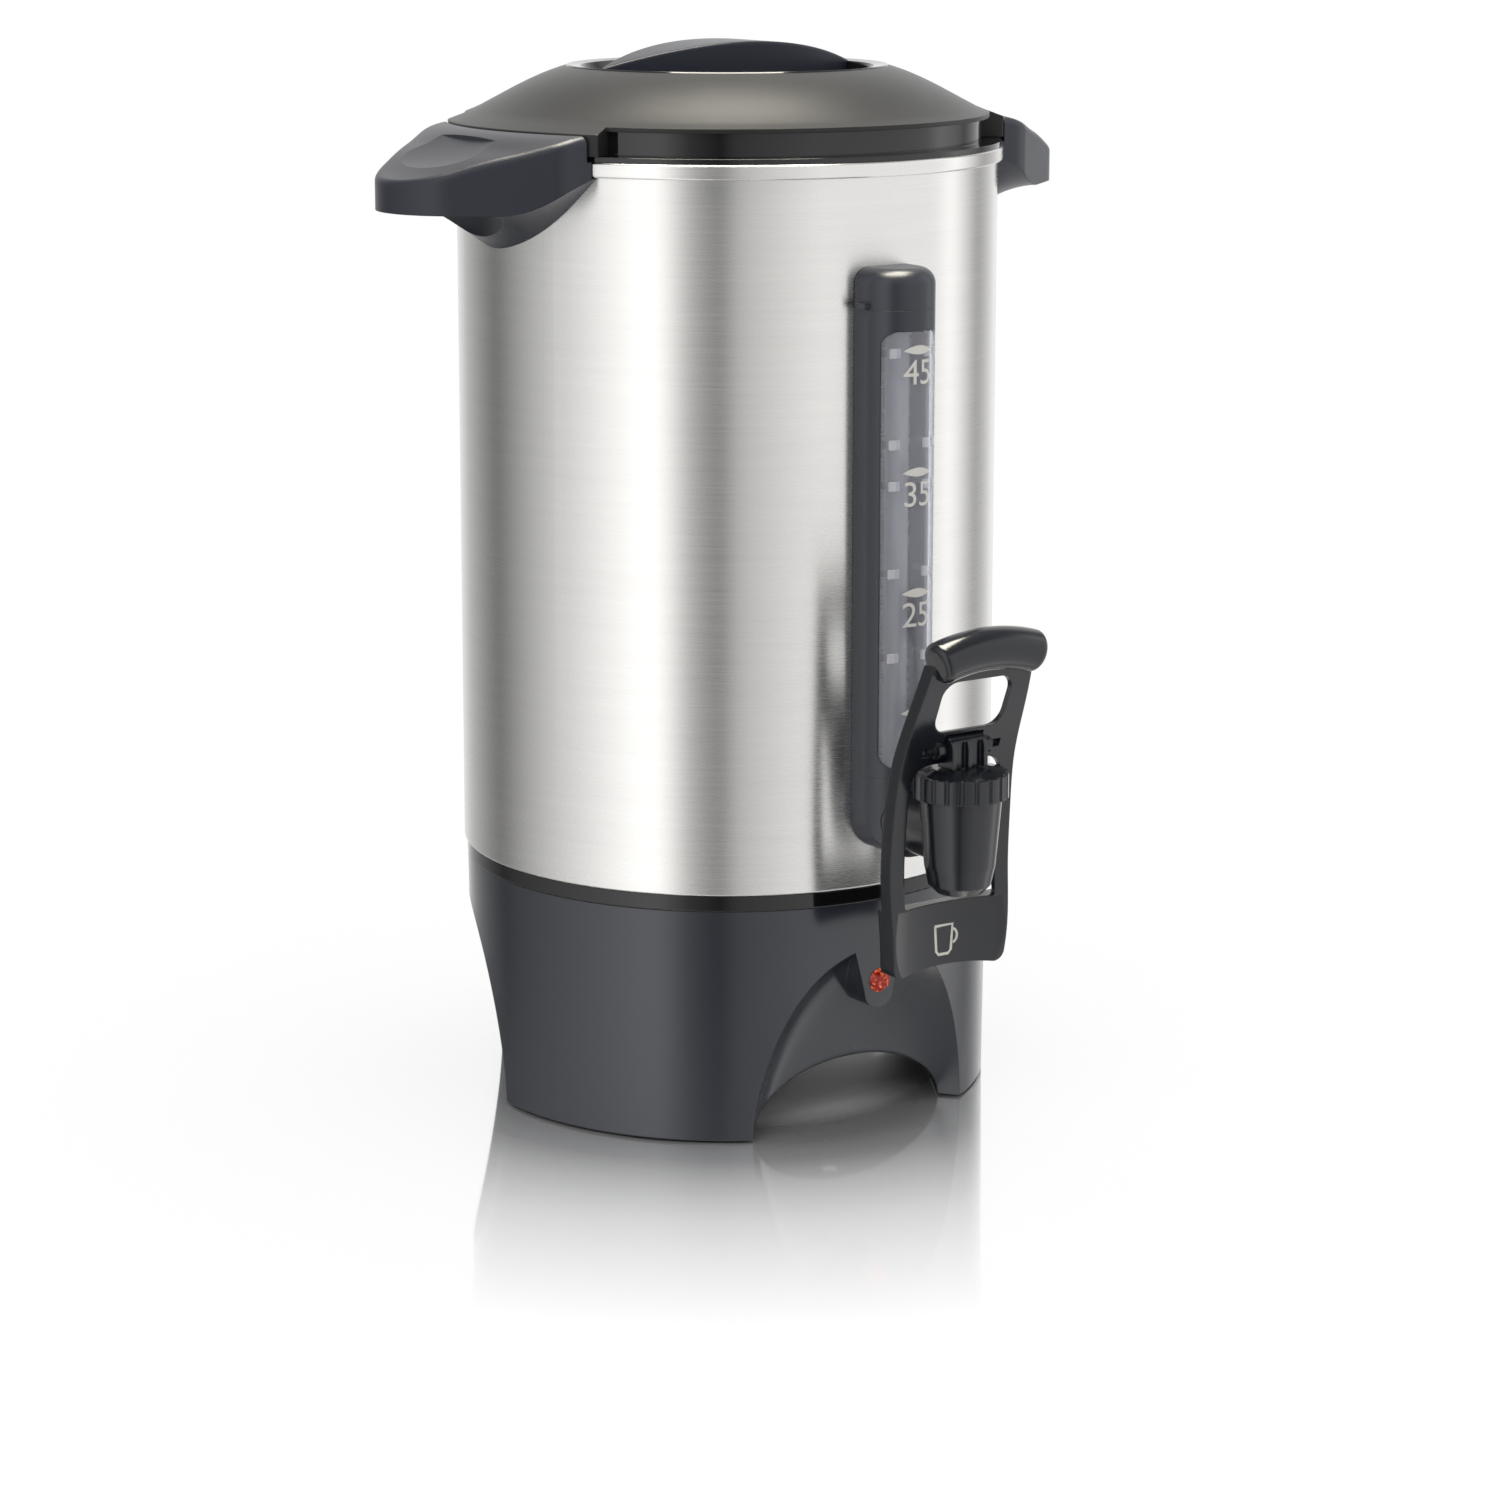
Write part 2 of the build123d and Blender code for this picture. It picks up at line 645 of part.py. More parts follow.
def make_power_inlet():
    wide, high = INLET_HALF_WIDTH, INLET_HALF_H
    mouth, seat = inlet_mouth_y(), inlet_flange_y()
    body = block(-wide, wide, mouth - INLET_DEPTH, mouth, INLET_Z - high, INLET_Z + high)
    over = wide + INLET_FLANGE_OVER
    rise = high + INLET_FLANGE_RISE
    body += block(-over, over, seat - INLET_FLANGE_T, seat, INLET_Z - rise, INLET_Z + rise)
    inner, deep = wide - INLET_WALL, mouth - INLET_DEPTH + 2 * INLET_WALL
    body -= block(-inner, inner, deep, mouth + 1, INLET_Z - high + INLET_WALL, INLET_Z + high - INLET_WALL)
    for x in (-PIN_SPACING / 2, PIN_SPACING / 2):
        body -= rod_y(PIN_R + RUNNING_FIT, 0, mouth, x, INLET_Z)
    for x in inlet_screw_xs():
        body -= rod_y(INLET_SCREW_R + FIT, 0, mouth, x, INLET_Z)
    return body


def make_inlet_pins():
    tip = inlet_mouth_y() - PIN_BEHIND_MOUTH
    return [rod_y(PIN_R, tip - PIN_L, tip, x, INLET_Z) for x in (-PIN_SPACING / 2, PIN_SPACING / 2)]


def make_inlet_screws():
    head = inlet_mouth_y() - SCREW_HEAD_H
    screws = []
    for x in inlet_screw_xs():
        screw = rod_y(INLET_SCREW_R, head - INLET_SCREW_L, head, x, INLET_Z)
        screws.append(screw + rod_y(SCREW_HEAD_R, head, inlet_mouth_y(), x, INLET_Z))
    return screws


# ---- steel body and heating parts ----


def make_steel_body():
    body = disc(TANK_R, RING_TOP_Z, TANK_TOP_Z)
    body = fillet(body.edges().group_by(Axis.Z)[0], SHEET)
    rim = disc(RIM_R, TANK_TOP_Z - RIM_H, TANK_TOP_Z)
    rim = fillet(rim.edges().filter_by(GeomType.CIRCLE), RIM_PROUD / 2)
    body += rim
    body -= disc(TANK_BORE_R, RING_TOP_Z + SHEET, TANK_TOP_Z + 1)
    body -= disc(WELL_R + FIT, 0, RING_TOP_Z + 2 * SHEET)
    body -= rod_y(SHANK_R + FIT, -RIM_R, 0, 0, SHANK_Z)
    for x in (-GAUGE_SCREW_X, GAUGE_SCREW_X):
        body -= rod_y(GAUGE_SCREW_R + FIT, -RIM_R, 0, x, GAUGE_SCREW_Z)
    for angle in handle_screw_angles():
        body -= Rot(0, 0, angle) * rod_x(HANDLE_SCREW_R + FIT, 0, RIM_R + 1, 0, HANDLE_SCREW_Z)
    return body


def make_heating_well():
    top = RING_TOP_Z + SHEET
    well = disc(WELL_R, WELL_FLOOR_Z, top + SHEET) + disc(WELL_FLANGE_R, top, top + SHEET)
    return well - disc(WELL_R - SHEET, WELL_FLOOR_Z + SHEET, top + SHEET + 1)


def make_brew_heater():
    low = WELL_FLOOR_Z + BREW_HEATER_UP
    return tube(WELL_R + FIT + BREW_HEATER_T, WELL_R + FIT, low, low + BREW_HEATER_H)


def make_keep_warm_heater():
    return tube(WARM_HEATER_R_OUT, WARM_HEATER_R_IN, RING_TOP_Z - WARM_HEATER_T, RING_TOP_Z)


def make_heat_shield():
    top = WELL_FLOOR_Z - SHIELD_DOWN + SHEET
    shield = disc(SHIELD_R, top - SHEET, top + SHIELD_RIM_H)
    shield -= disc(SHIELD_R - SHEET, top, top + SHIELD_RIM_H + 1)
    return shield - disc(WELL_STUD_R + FIT, 0, BASE_TOP_Z)


def make_well_stud():
    return disc(WELL_STUD_R, WELL_FLOOR_Z - WELL_STUD_L, WELL_FLOOR_Z)


def make_well_nut():
    top = WELL_FLOOR_Z - SHIELD_DOWN
    return hexagon(WELL_NUT_R, top - WELL_NUT_H, top) - disc(WELL_STUD_R + RUNNING_FIT, 0, BASE_TOP_Z)


def make_thermostat():
    low = WELL_FLOOR_Z - SHIELD_DOWN + SHEET
    return disc(THERMOSTAT_R, low, WELL_FLOOR_Z, THERMOSTAT_X, 0)


def make_thermal_fuse():
    z = WELL_FLOOR_Z - FUSE_R - FIT
    return rod_y(FUSE_R, -FUSE_L / 2, FUSE_L / 2, -THERMOSTAT_X, z)


# ---- side handles ----


def handle_screw_angles():
    return [side + turn for side in (0, 180) for turn in (-HANDLE_SCREW_ANGLE, HANDLE_SCREW_ANGLE)]


def handle_outline():
    """Plan of the handle on the +X side: square shoulders, flanks tangent to a round tip."""
    corner_x, centre_x = TANK_R + HANDLE_CORNER_OUT, TANK_R + HANDLE_TIP_OUT
    gap = math.hypot(centre_x - corner_x, HANDLE_HALF_WIDTH)
    lean = math.atan2(HANDLE_HALF_WIDTH, corner_x - centre_x)
    turn = lean - math.acos(HANDLE_TIP_R / gap)
    touch_x = centre_x + HANDLE_TIP_R * math.cos(turn)
    touch_y = HANDLE_TIP_R * math.sin(turn)
    inner_x = TANK_R + APRON_IN
    sides = Polyline(
        (touch_x, touch_y),
        (corner_x, HANDLE_HALF_WIDTH),
        (inner_x, HANDLE_HALF_WIDTH),
        (inner_x, -HANDLE_HALF_WIDTH),
        (corner_x, -HANDLE_HALF_WIDTH),
        (touch_x, -touch_y),
    )
    tip = ThreePointArc((touch_x, -touch_y), (centre_x + HANDLE_TIP_R, 0), (touch_x, touch_y))
    outline = make_face(sides + tip)
    shoulders = [v for v in outline.vertices() if abs(v.X - corner_x) < 0.01]
    return fillet(shoulders, HANDLE_CORNER_R)


def handle_underside():
    """Everything above the apron that slopes down from the handle's low edge to the steel."""
    wide, top = HANDLE_HALF_WIDTH + 1, TANK_TOP_Z + 2 * HANDLE_TIP_R

    def section(x, curve):
        plane = Plane(origin=(x, 0, 0), x_dir=(0, 1, 0), z_dir=(1, 0, 0))
        points = [(-y, TANK_TOP_Z - z) for y, z in curve]
        points += [(y, TANK_TOP_Z - z) for y, z in reversed(curve[:-1])]
        ends = Polyline(points[-1], (wide, top), (-wide, top), points[0])
        return plane * make_face(Spline(*points) + ends)

    flat = [(y, HANDLE_LOW_BELOW) for y, _ in APRON]
    inner, outer = TANK_R + APRON_IN, TANK_R + HANDLE_SLOPE_OUT
    apron = [(wide, APRON[0][1])] + list(APRON[1:])
    level = [(wide, HANDLE_LOW_BELOW)] + flat[1:]
    slope = loft(Sketch() + [section(inner, apron), section(outer, level)], ruled=True)
    far = TANK_R + HANDLE_TIP_OUT + HANDLE_TIP_R + 1
    return slope + block(outer, far, -wide, wide, HANDLE_LOW_Z, top)


def make_handle():
    outline = handle_outline()
    low, wide = TANK_TOP_Z - APRON[-1][1], HANDLE_HALF_WIDTH
    blank = extrude(Pos(0, 0, low) * outline, TANK_TOP_Z - low + 2 * RIM_H)
    blank = blank & handle_underside()
    # the top falls away all round from the lid's ear towards the tip
    far = TANK_TOP_Z + 4 * RIM_H
    points = [(TANK_R + x, TANK_TOP_Z + z) for x, z in HANDLE_TOP]
    first, last = points[0], points[-1]
    over = Polyline(last, (last[0], far), (first[0], far), first)
    face = Rot(0, 0, -HANDLE_SWEEP / 2) * (Plane.XZ * make_face(Spline(*points) + over))
    blank -= revolve(face, Axis.Z, HANDLE_SWEEP)
    top_faces = [f for f in blank.faces() if f.normal_at().Z > 0.7]
    inner_x = TANK_R + APRON_IN
    edges = [e for f in top_faces for e in f.edges() if e.center().X > inner_x + FIT]
    blank = fillet(edges, HANDLE_EDGE_R)
    # clear of the steel body, its rolled rim and the lid's ear
    blank -= disc(TANK_R + FIT, 0, far)
    blank -= disc(RIM_R + LIFT_GAP, TANK_TOP_Z - RIM_H - LIFT_GAP, far)
    blank -= disc(LID_EAR_R + HANDLE_EAR_GAP, TANK_TOP_Z + FIT, far)
    # thumb dip above, with a straight inner edge, and finger pocket below
    dip = Rot(0, DIP_LEAN, 0) * scale(Sphere(1), by=DIP_AXES)
    dip = Pos(TANK_R + DIP_OUT, 0, TANK_TOP_Z + DIP_UP) * dip
    blank -= dip & block(TANK_R + DIP_IN, TANK_R + HANDLE_TIP_OUT + HANDLE_TIP_R, -wide, wide, low, far)
    blank -= Pos(TANK_R + POCKET_OUT, 0, TANK_TOP_Z - POCKET_BELOW) * scale(Sphere(1), by=POCKET_AXES)
    for turn in (-HANDLE_SCREW_ANGLE, HANDLE_SCREW_ANGLE):
        hole = rod_x(HANDLE_SCREW_R + RUNNING_FIT, 0, TANK_R + HANDLE_SCREW_L, 0, HANDLE_SCREW_Z)
        blank -= Rot(0, 0, turn) * hole
    return blank


def make_handle_screws():
    seat = TANK_BORE_R - 2 * FIT
    screw = rod_x(HANDLE_SCREW_R, seat, TANK_R + HANDLE_SCREW_L - 1, 0, HANDLE_SCREW_Z)
    screw += rod_x(HANDLE_SCREW_HEAD_R, seat - HANDLE_SCREW_HEAD_T, seat, 0, HANDLE_SCREW_Z)
    return around(screw, handle_screw_angles())


# ---- level gauge ----


def gauge_outline(shrink, back):
    """Plan of the gauge: flat sides and a round front."""
    radius = GAUGE_R - shrink
    arc = ThreePointArc((-radius, GAUGE_Y), (0, GAUGE_Y - radius), (radius, GAUGE_Y))
    sides = Polyline((radius, GAUGE_Y), (radius, back), (-radius, back), (-radius, GAUGE_Y))
    return make_face(arc + sides)


def gauge_prism(shrink, low, high, back=-TANK_R + GAUGE_R):
    return extrude(Pos(0, 0, low) * gauge_outline(shrink, back), high - low)


def window_cut(gap):
    """Front opening of the gauge, with round corners, run along Y."""
    wide = WINDOW_HALF_WIDTH - gap
    low, high = WINDOW_LOW_Z + gap, WINDOW_HIGH_Z - gap
    plane = Plane(origin=(0, GAUGE_Y, (low + high) / 2), x_dir=(1, 0, 0), z_dir=(0, -1, 0))
    face = RectangleRounded(2 * wide, high - low, WINDOW_CORNER_R)
    return extrude(plane * face, 2 * GAUGE_R)


def make_gauge_housing():
    housing = gauge_prism(0, GAUGE_SEAM_Z, GAUGE_TOP_Z)
    housing -= gauge_prism(GAUGE_WALL, GAUGE_SEAM_Z - 1, GAUGE_TOP_Z - GAUGE_TOP_WALL)
    housing -= window_cut(0)
    housing -= disc(TANK_R + FIT, 0, TANK_TOP_Z)
    housing -= disc(TUBE_R + FIT, GAUGE_SEAM_Z, GAUGE_TOP_Z + 1, 0, TUBE_Y)
    housing -= disc(SEAL_R, GAUGE_TOP_Z - SEAL_H, GAUGE_TOP_Z + 1, 0, TUBE_Y)
    for x in (-GAUGE_SCREW_X, GAUGE_SCREW_X):
        end = -(TANK_BORE_R + GAUGE_SCREW_L)
        housing -= rod_y(GAUGE_SCREW_R + RUNNING_FIT, end, 0, x, GAUGE_SCREW_Z)
    return housing


def make_gauge_base():
    base = gauge_prism(0, GAUGE_BOTTOM_Z, GAUGE_SEAM_Z)
    plane = Plane(origin=(0, -TANK_R / 2, 0), x_dir=(1, 0, 0), z_dir=(0, -1, 0))
    high = GAUGE_SEAM_Z + GAUGE_BOTTOM_CORNER_R
    middle = Pos(0, (GAUGE_BOTTOM_Z + high) / 2)
    front = middle * RectangleRounded(2 * GAUGE_R, high - GAUGE_BOTTOM_Z, GAUGE_BOTTOM_CORNER_R)
    base = base & extrude(plane * front, TANK_R)
    base -= disc(TANK_R + FIT, 0, TANK_TOP_Z)
    base -= rod_y(SHANK_R + FIT, -2 * TANK_R, 0, 0, SHANK_Z)
    base -= disc(TUBE_BORE_R, SHANK_Z, GAUGE_SEAM_Z, 0, TUBE_Y)
    base -= disc(TUBE_R + FIT, GAUGE_SEAM_Z - TUBE_SEAT, GAUGE_SEAM_Z + 1, 0, TUBE_Y)
    return base - disc(SEAL_R, GAUGE_SEAM_Z - SEAL_H, GAUGE_SEAM_Z + 1, 0, TUBE_Y)


def make_gauge_window():
    low, high = WINDOW_LOW_Z, WINDOW_HIGH_Z
    window = gauge_prism(0, low, high) - gauge_prism(WINDOW_T, low - 1, high + 1)
    window = window & window_cut(FIT)
    # clips that hold the tube, on the window's inner face
    inner = GAUGE_R - WINDOW_T
    x = WINDOW_HALF_WIDTH - FIT - CLIP_T
    y = GAUGE_Y - math.sqrt(inner * inner - x * x)
    for z in [GAUGE_TOP_Z - below for below in CLIPS_BELOW]:
        for side in (-1, 1):
            ends = sorted((side * (x - CLIP_T), side * x))
            window += block(ends[0], ends[1], y - WINDOW_T / 2, y + CLIP_L, z - CLIP_H / 2, z + CLIP_H / 2)
    return window


def make_sight_tube():
    return tube(TUBE_R, TUBE_BORE_R, GAUGE_SEAM_Z - TUBE_SEAT, GAUGE_TOP_Z + TUBE_ABOVE, 0, TUBE_Y)


def make_tube_seals():
    seals = []
    for top in (GAUGE_SEAM_Z, GAUGE_TOP_Z):
        seals.append(tube(SEAL_R - FIT, TUBE_R + FIT, top - SEAL_H, top - FIT, 0, TUBE_Y))
    return seals


def make_gauge_cap():
    top = GAUGE_TOP_Z + CAP_H
    cap = gauge_prism(0, GAUGE_TOP_Z, top)
    cap = fillet(cap.faces().sort_by(Axis.Z)[-1].edges(), CAP_EDGE_R)
    cap -= gauge_prism(GAUGE_WALL, GAUGE_TOP_Z - 1, top - CAP_EDGE_R, TUBE_Y + TUBE_R + FIT)
    left = -(GAUGE_R + CAP_TAB)
    back = GAUGE_Y + CAP_TAB_L / 2
    cap += block(left, -GAUGE_R + 0.5, back - CAP_TAB_L, back, GAUGE_TOP_Z, GAUGE_TOP_Z + CAP_TAB_H)
    return cap - disc(TANK_R + LIFT_GAP, 0, 2 * TANK_TOP_Z)


def make_gauge_screws():
    screws = []
    for x in (-GAUGE_SCREW_X, GAUGE_SCREW_X):
        seat = -math.sqrt(TANK_BORE_R**2 - (GAUGE_SCREW_X + SCREW_HEAD_R) ** 2) + FIT
        screw = rod_y(GAUGE_SCREW_R, -(TANK_BORE_R + GAUGE_SCREW_L) + 1, seat, x, GAUGE_SCREW_Z)
        screws.append(screw + rod_y(SCREW_HEAD_R, seat, seat + SCREW_HEAD_H, x, GAUGE_SCREW_Z))
    return screws


# ---- tap ----


def make_tap_body():
    body = turned(
        [
            (0, TAP_BOTTOM_Z),
            (TAP_LOW_R - (TAP_BOTTOM_BELOW - TAP_LOW_BELOW), TAP_BOTTOM_Z),
            (TAP_LOW_R, SHANK_Z - TAP_LOW_BELOW),
            (TAP_MID_R, SHANK_Z - TAP_MID_BELOW),
            (TAP_TOP_R, TAP_TOP_Z),
            (0, TAP_TOP_Z),
        ]
    )
    body = Pos(0, TAP_Y, 0) * body
    body += rod_y(SHANK_BOSS_R, TAP_Y, GAUGE_Y, 0, SHANK_Z)
    body -= gauge_prism(-FIT, GAUGE_BOTTOM_Z - 2, GAUGE_SEAM_Z)
    body += rod_y(SHANK_R, TAP_Y, -TANK_R + SHANK_INSIDE, 0, SHANK_Z)
    body -= rod_y(SHANK_BORE_R, TAP_Y, 0, 0, SHANK_Z)
    body -= disc(CHAMBER_R, SEAT_Z, TAP_TOP_Z + 1, 0, TAP_Y)
    body -= disc(OUTLET_R, 0, SEAT_Z + 1, 0, TAP_Y)
    return body - disc(FEED_R, SHANK_Z, GAUGE_SEAM_Z, 0, TUBE_Y)


def make_shank_gasket():
    front = -TANK_BORE_R - 1
    back = -TANK_BORE_R + GASKET_T
    ring = rod_y(GASKET_R, front, back, 0, SHANK_Z) - rod_y(SHANK_R + FIT, -TANK_R, 0, 0, SHANK_Z)
    return ring & disc(TANK_BORE_R - RUNNING_FIT, 0, TANK_TOP_Z)


def make_shank_nut():
    front = -TANK_BORE_R + GASKET_T
    plane = Plane(origin=(0, front, SHANK_Z), x_dir=(1, 0, 0), z_dir=(0, 1, 0))
    nut = extrude(plane * RegularPolygon(SHANK_NUT_R, 6), SHANK_NUT_T)
    return nut - rod_y(SHANK_R + RUNNING_FIT, -TANK_R, 0, 0, SHANK_Z)


def make_bonnet():
    low, top = TAP_TOP_Z, BONNET_TOP_Z
    cap = disc(BONNET_R, low, top - BONNET_SHOULDER)
    for index in range(KNURLS):
        turn = 2 * math.pi * index / KNURLS
        x, y = BONNET_R * math.cos(turn), BONNET_R * math.sin(turn)
        cap -= disc(KNURL_R, low - 1, top, x, y)
    shoulder = top - BONNET_SHOULDER
    cap += turned([(0, shoulder), (BONNET_R - KNURL_R, shoulder), (BONNET_TOP_R, top), (0, top)])
    cap += disc(CHAMBER_R - FIT, low - BONNET_SPIGOT_H, low)
    cap -= disc(SPRING_POCKET_R, low - BONNET_SPIGOT_H - 1, top - SPRING_POCKET_TOP)
    cap -= disc(STEM_R + RUNNING_FIT, low, top + 1)
    return Pos(0, TAP_Y, 0) * cap


def make_seat_cup():
    cup = disc(CUP_R, SEAT_Z, SEAT_Z + CUP_H, 0, TAP_Y)
    cup = fillet(cup.edges().group_by(Axis.Z)[-1], CUP_EDGE_R)
    return cup - disc(STEM_R, SEAT_Z + CUP_H - CUP_SOCKET, SEAT_Z + CUP_H + 1, 0, TAP_Y)


def make_stem():
    return disc(STEM_R, SEAT_Z + CUP_H - CUP_SOCKET, HEAD_Z + STEM_IN_HEAD, 0, TAP_Y)


def make_stem_spring():
    low = SEAT_Z + CUP_H + SPRING_END_GAP + SPRING_WIRE_R
    high = BONNET_TOP_Z - SPRING_POCKET_TOP - SPRING_END_GAP - SPRING_WIRE_R
    coil = Helix((high - low) / SPRING_TURNS, high - low, SPRING_R)
    wire = sweep(Plane(coil @ 0, z_dir=coil % 0) * Circle(SPRING_WIRE_R), coil)
    return Pos(0, TAP_Y, low) * wire


def make_stem_head():
    front, back = TAP_Y - HEAD_FRONT, TAP_Y + HEAD_BACK
    top = PIVOT_Z + HEAD_FRONT
    head = block(-HEAD_HALF_WIDTH, HEAD_HALF_WIDTH, front, back, HEAD_Z, top)
    # its top is round about the pin, so the lever's bar can swing over it
    crown = rod_x(HEAD_FRONT, -HEAD_HALF_WIDTH, HEAD_HALF_WIDTH, TAP_Y, PIVOT_Z)
    head &= crown + block(-HEAD_HALF_WIDTH, HEAD_HALF_WIDTH, front, back, HEAD_Z, PIVOT_Z)
    gap = (2 * HEAD_HALF_WIDTH - 3 * RIB_W) / 2
    for side in (-1, 1):
        x = side * (RIB_W + gap) / 2
        low, high = HEAD_Z - 1, top - HEAD_TOP_BAR
        head -= block(x - gap / 2, x + gap / 2, front - 1, front + RIB_DEPTH, low, high)
    head -= disc(STEM_R, 0, HEAD_Z + STEM_IN_HEAD, 0, TAP_Y)
    return head - rod_x(LEVER_PIN_R, -BONNET_R, BONNET_R, TAP_Y, PIVOT_Z)


def make_lever_pin():
    half = HEAD_HALF_WIDTH + HEAD_SIDE_GAP + EAR_T - FIT
    return rod_x(LEVER_PIN_R, -half, half, TAP_Y, PIVOT_Z)


def lever_slab(near, far):
    """Slab that follows the lever's front curve, between two depths behind it."""
    front = [(TAP_Y + y + near, PIVOT_Z + z) for y, z in LEVER_FRONT]
    back = [(TAP_Y + y + far, PIVOT_Z + z) for y, z in LEVER_FRONT]
    outline = Spline(*front) + Line(front[-1], back[-1]) + Spline(*back) + Line(back[0], front[0])
    plane = Plane(origin=(-2 * BONNET_R, 0, 0), x_dir=(0, 1, 0), z_dir=(1, 0, 0))
    return extrude(plane * make_face(outline), 4 * BONNET_R)


def lever_outline(shrink):
    """Front outline of the lever between its lowest and highest level."""
    right = [(x - shrink, PIVOT_Z + z) for x, z in LEVER_HALF_WIDTH]
    left = [(-x, z) for x, z in right]
    low = right[0][1]
    edges = Spline(*right) + Line(right[-1], left[-1]) + Spline(*left)
    edges += ThreePointArc(left[0], (0, low + PAD_ARCH), right[0])
    outline = make_face(edges)
    return fillet(outline.vertices().group_by(Axis.Y)[0], PAD_CORNER_R)


def through(face, front, back):
    """Front outline (X, Z) run along Y."""
    plane = Plane(origin=(0, back, 0), x_dir=(1, 0, 0), z_dir=(0, -1, 0))
    return extrude(plane * face, back - front)


def make_lever():
    near, far = TAP_Y - 2 * BONNET_R, TAP_Y + 2 * BONNET_R
    low, top = PIVOT_Z + LEVER_FRONT[0][1], PIVOT_Z + LEVER_FRONT[-1][1]
    frame = lever_slab(0, LEVER_DEPTH) & through(lever_outline(0), near, far)
    pad = lever_slab(0, PAD_DEPTH) & through(lever_outline(0), near, far)
    frame += pad & block(-BONNET_R * 2, BONNET_R * 2, near, far, low, PAD_TOP_Z)
    hollow = lever_slab(LEVER_SKIN, 2 * LEVER_DEPTH) & through(lever_outline(LEVER_RAIL), near, far)
    frame -= hollow & block(-BONNET_R * 2, BONNET_R * 2, near, far, PAD_TOP_Z, top - LEVER_RAIL)
    # the pad is scooped for a cup
    half = LEVER_HALF_WIDTH[0][0]
    scoop_r = (half**2 + PAD_SCOOP**2) / (2 * PAD_SCOOP)
    frame -= disc(scoop_r, low - 1, PAD_TOP_Z, 0, TAP_Y + LEVER_FRONT[1][0] + PAD_SCOOP - scoop_r)
    # lower window around the tap, upper window above it
    window_top = PIVOT_Z - LOWER_WINDOW_TOP_BELOW
    window = Rectangle(2 * LOWER_WINDOW_HALF_WIDTH, window_top - PAD_TOP_Z)
    window = Pos(0, (window_top + PAD_TOP_Z) / 2) * window
    window = fillet(window.vertices().group_by(Axis.Y)[-1], LOWER_WINDOW_TOP_R)
    window = fillet(window.vertices().group_by(Axis.Y)[0], LOWER_WINDOW_LOW_R)
    frame -= through(window, near, far)
    tall = UPPER_WINDOW_TOP_UP - UPPER_WINDOW_LOW_UP
    window = RectangleRounded(2 * UPPER_WINDOW_HALF_WIDTH, tall, UPPER_WINDOW_R)
    frame -= through(Pos(0, PIVOT_Z + UPPER_WINDOW_LOW_UP + tall / 2) * window, near, far)
    # room for the stem head, ears for its pin and the web that joins them
    room = HEAD_HALF_WIDTH + HEAD_SIDE_GAP
    frame -= block(-room, room, near, far, window_top - 1, PIVOT_Z + HEAD_FRONT + HEAD_OVER_GAP)
    web_front = TAP_Y + WEB_BEHIND
    ear_low = PIVOT_Z - EAR_R
    for side in (-1, 1):
        ends = sorted((side * room, side * (room + EAR_T)))
        ear = rod_x(EAR_R, ends[0], ends[1], TAP_Y, PIVOT_Z)
        ear += block(ends[0], ends[1], TAP_Y, web_front + WEB_T, ear_low, PIVOT_Z + EAR_R)
        frame += ear
    frame += block(-room - 1, room + 1, web_front, web_front + WEB_T, ear_low, ear_low + WEB_H)
    frame += lever_grip()
    return frame - rod_x(LEVER_PIN_R + RUNNING_FIT, -BONNET_R, BONNET_R, TAP_Y, PIVOT_Z)


def lever_grip():
    """Arched bar across the top of the lever."""
    y = TAP_Y - GRIP_FORWARD
    top = PIVOT_Z + GRIP_UP
    low = top - GRIP_ARCH
    path = ThreePointArc((-GRIP_HALF_L, y, low), (0, y, top), (GRIP_HALF_L, y, low))
    bar = sweep(Plane(path @ 0, z_dir=path % 0) * Circle(GRIP_R), path)
    ends = [e for e in bar.edges().filter_by(GeomType.CIRCLE) if abs(e.center().X) > GRIP_HALF_L / 2]
    return fillet(ends, GRIP_END_R)


# ---- lid ----


def make_lid_band():
    band = turned(
        [
            (SPIGOT_R - PLASTIC, SPIGOT_Z),
            (SPIGOT_R, SPIGOT_Z),
            (SPIGOT_R, TANK_TOP_Z),
            (LID_FLANGE_R, TANK_TOP_Z),
            (LID_FLANGE_R, BAND_Z),
            (LID_BAND_R, BAND_Z),
            (LID_BAND_R, DOME_Z),
            (LID_BAND_R - PLASTIC, DOME_Z),
            (LID_BAND_R - PLASTIC, TANK_TOP_Z),
            (SPIGOT_R - PLASTIC, TANK_TOP_Z - PLASTIC),
        ]
    )
    boss = disc(LID_BOSS_R, SPIGOT_Z, DOME_Z, LID_SCREW_RADIUS, 0)
    link = block(LID_SCREW_RADIUS, SPIGOT_R - 1, -1, 1, SPIGOT_Z, TANK_TOP_Z)
    band += around(boss + link, LID_SCREW_ANGLES)
    pilot = disc(LID_SCREW_R + RUNNING_FIT, SPIGOT_Z - 1, SPIGOT_Z + LID_SCREW_L, LID_SCREW_RADIUS, 0)
    return band - around(pilot, LID_SCREW_ANGLES)


def dome_curve(drop):
    """Points of the dome's section from its rim up to the dish, moved down by a thickness."""
    low = DOME_Z + LID_RIM_H
    points = [(LID_RIM_R, low - drop)]
    for inward, up in reversed(DOME_SHARES):
        radius = LID_RIM_R - inward * (LID_RIM_R - DISH_R)
        points.append((radius, low + up * (DISH_RIM_Z - low) - drop))
    return points + [(DISH_R + FIT, DISH_RIM_Z - drop)]


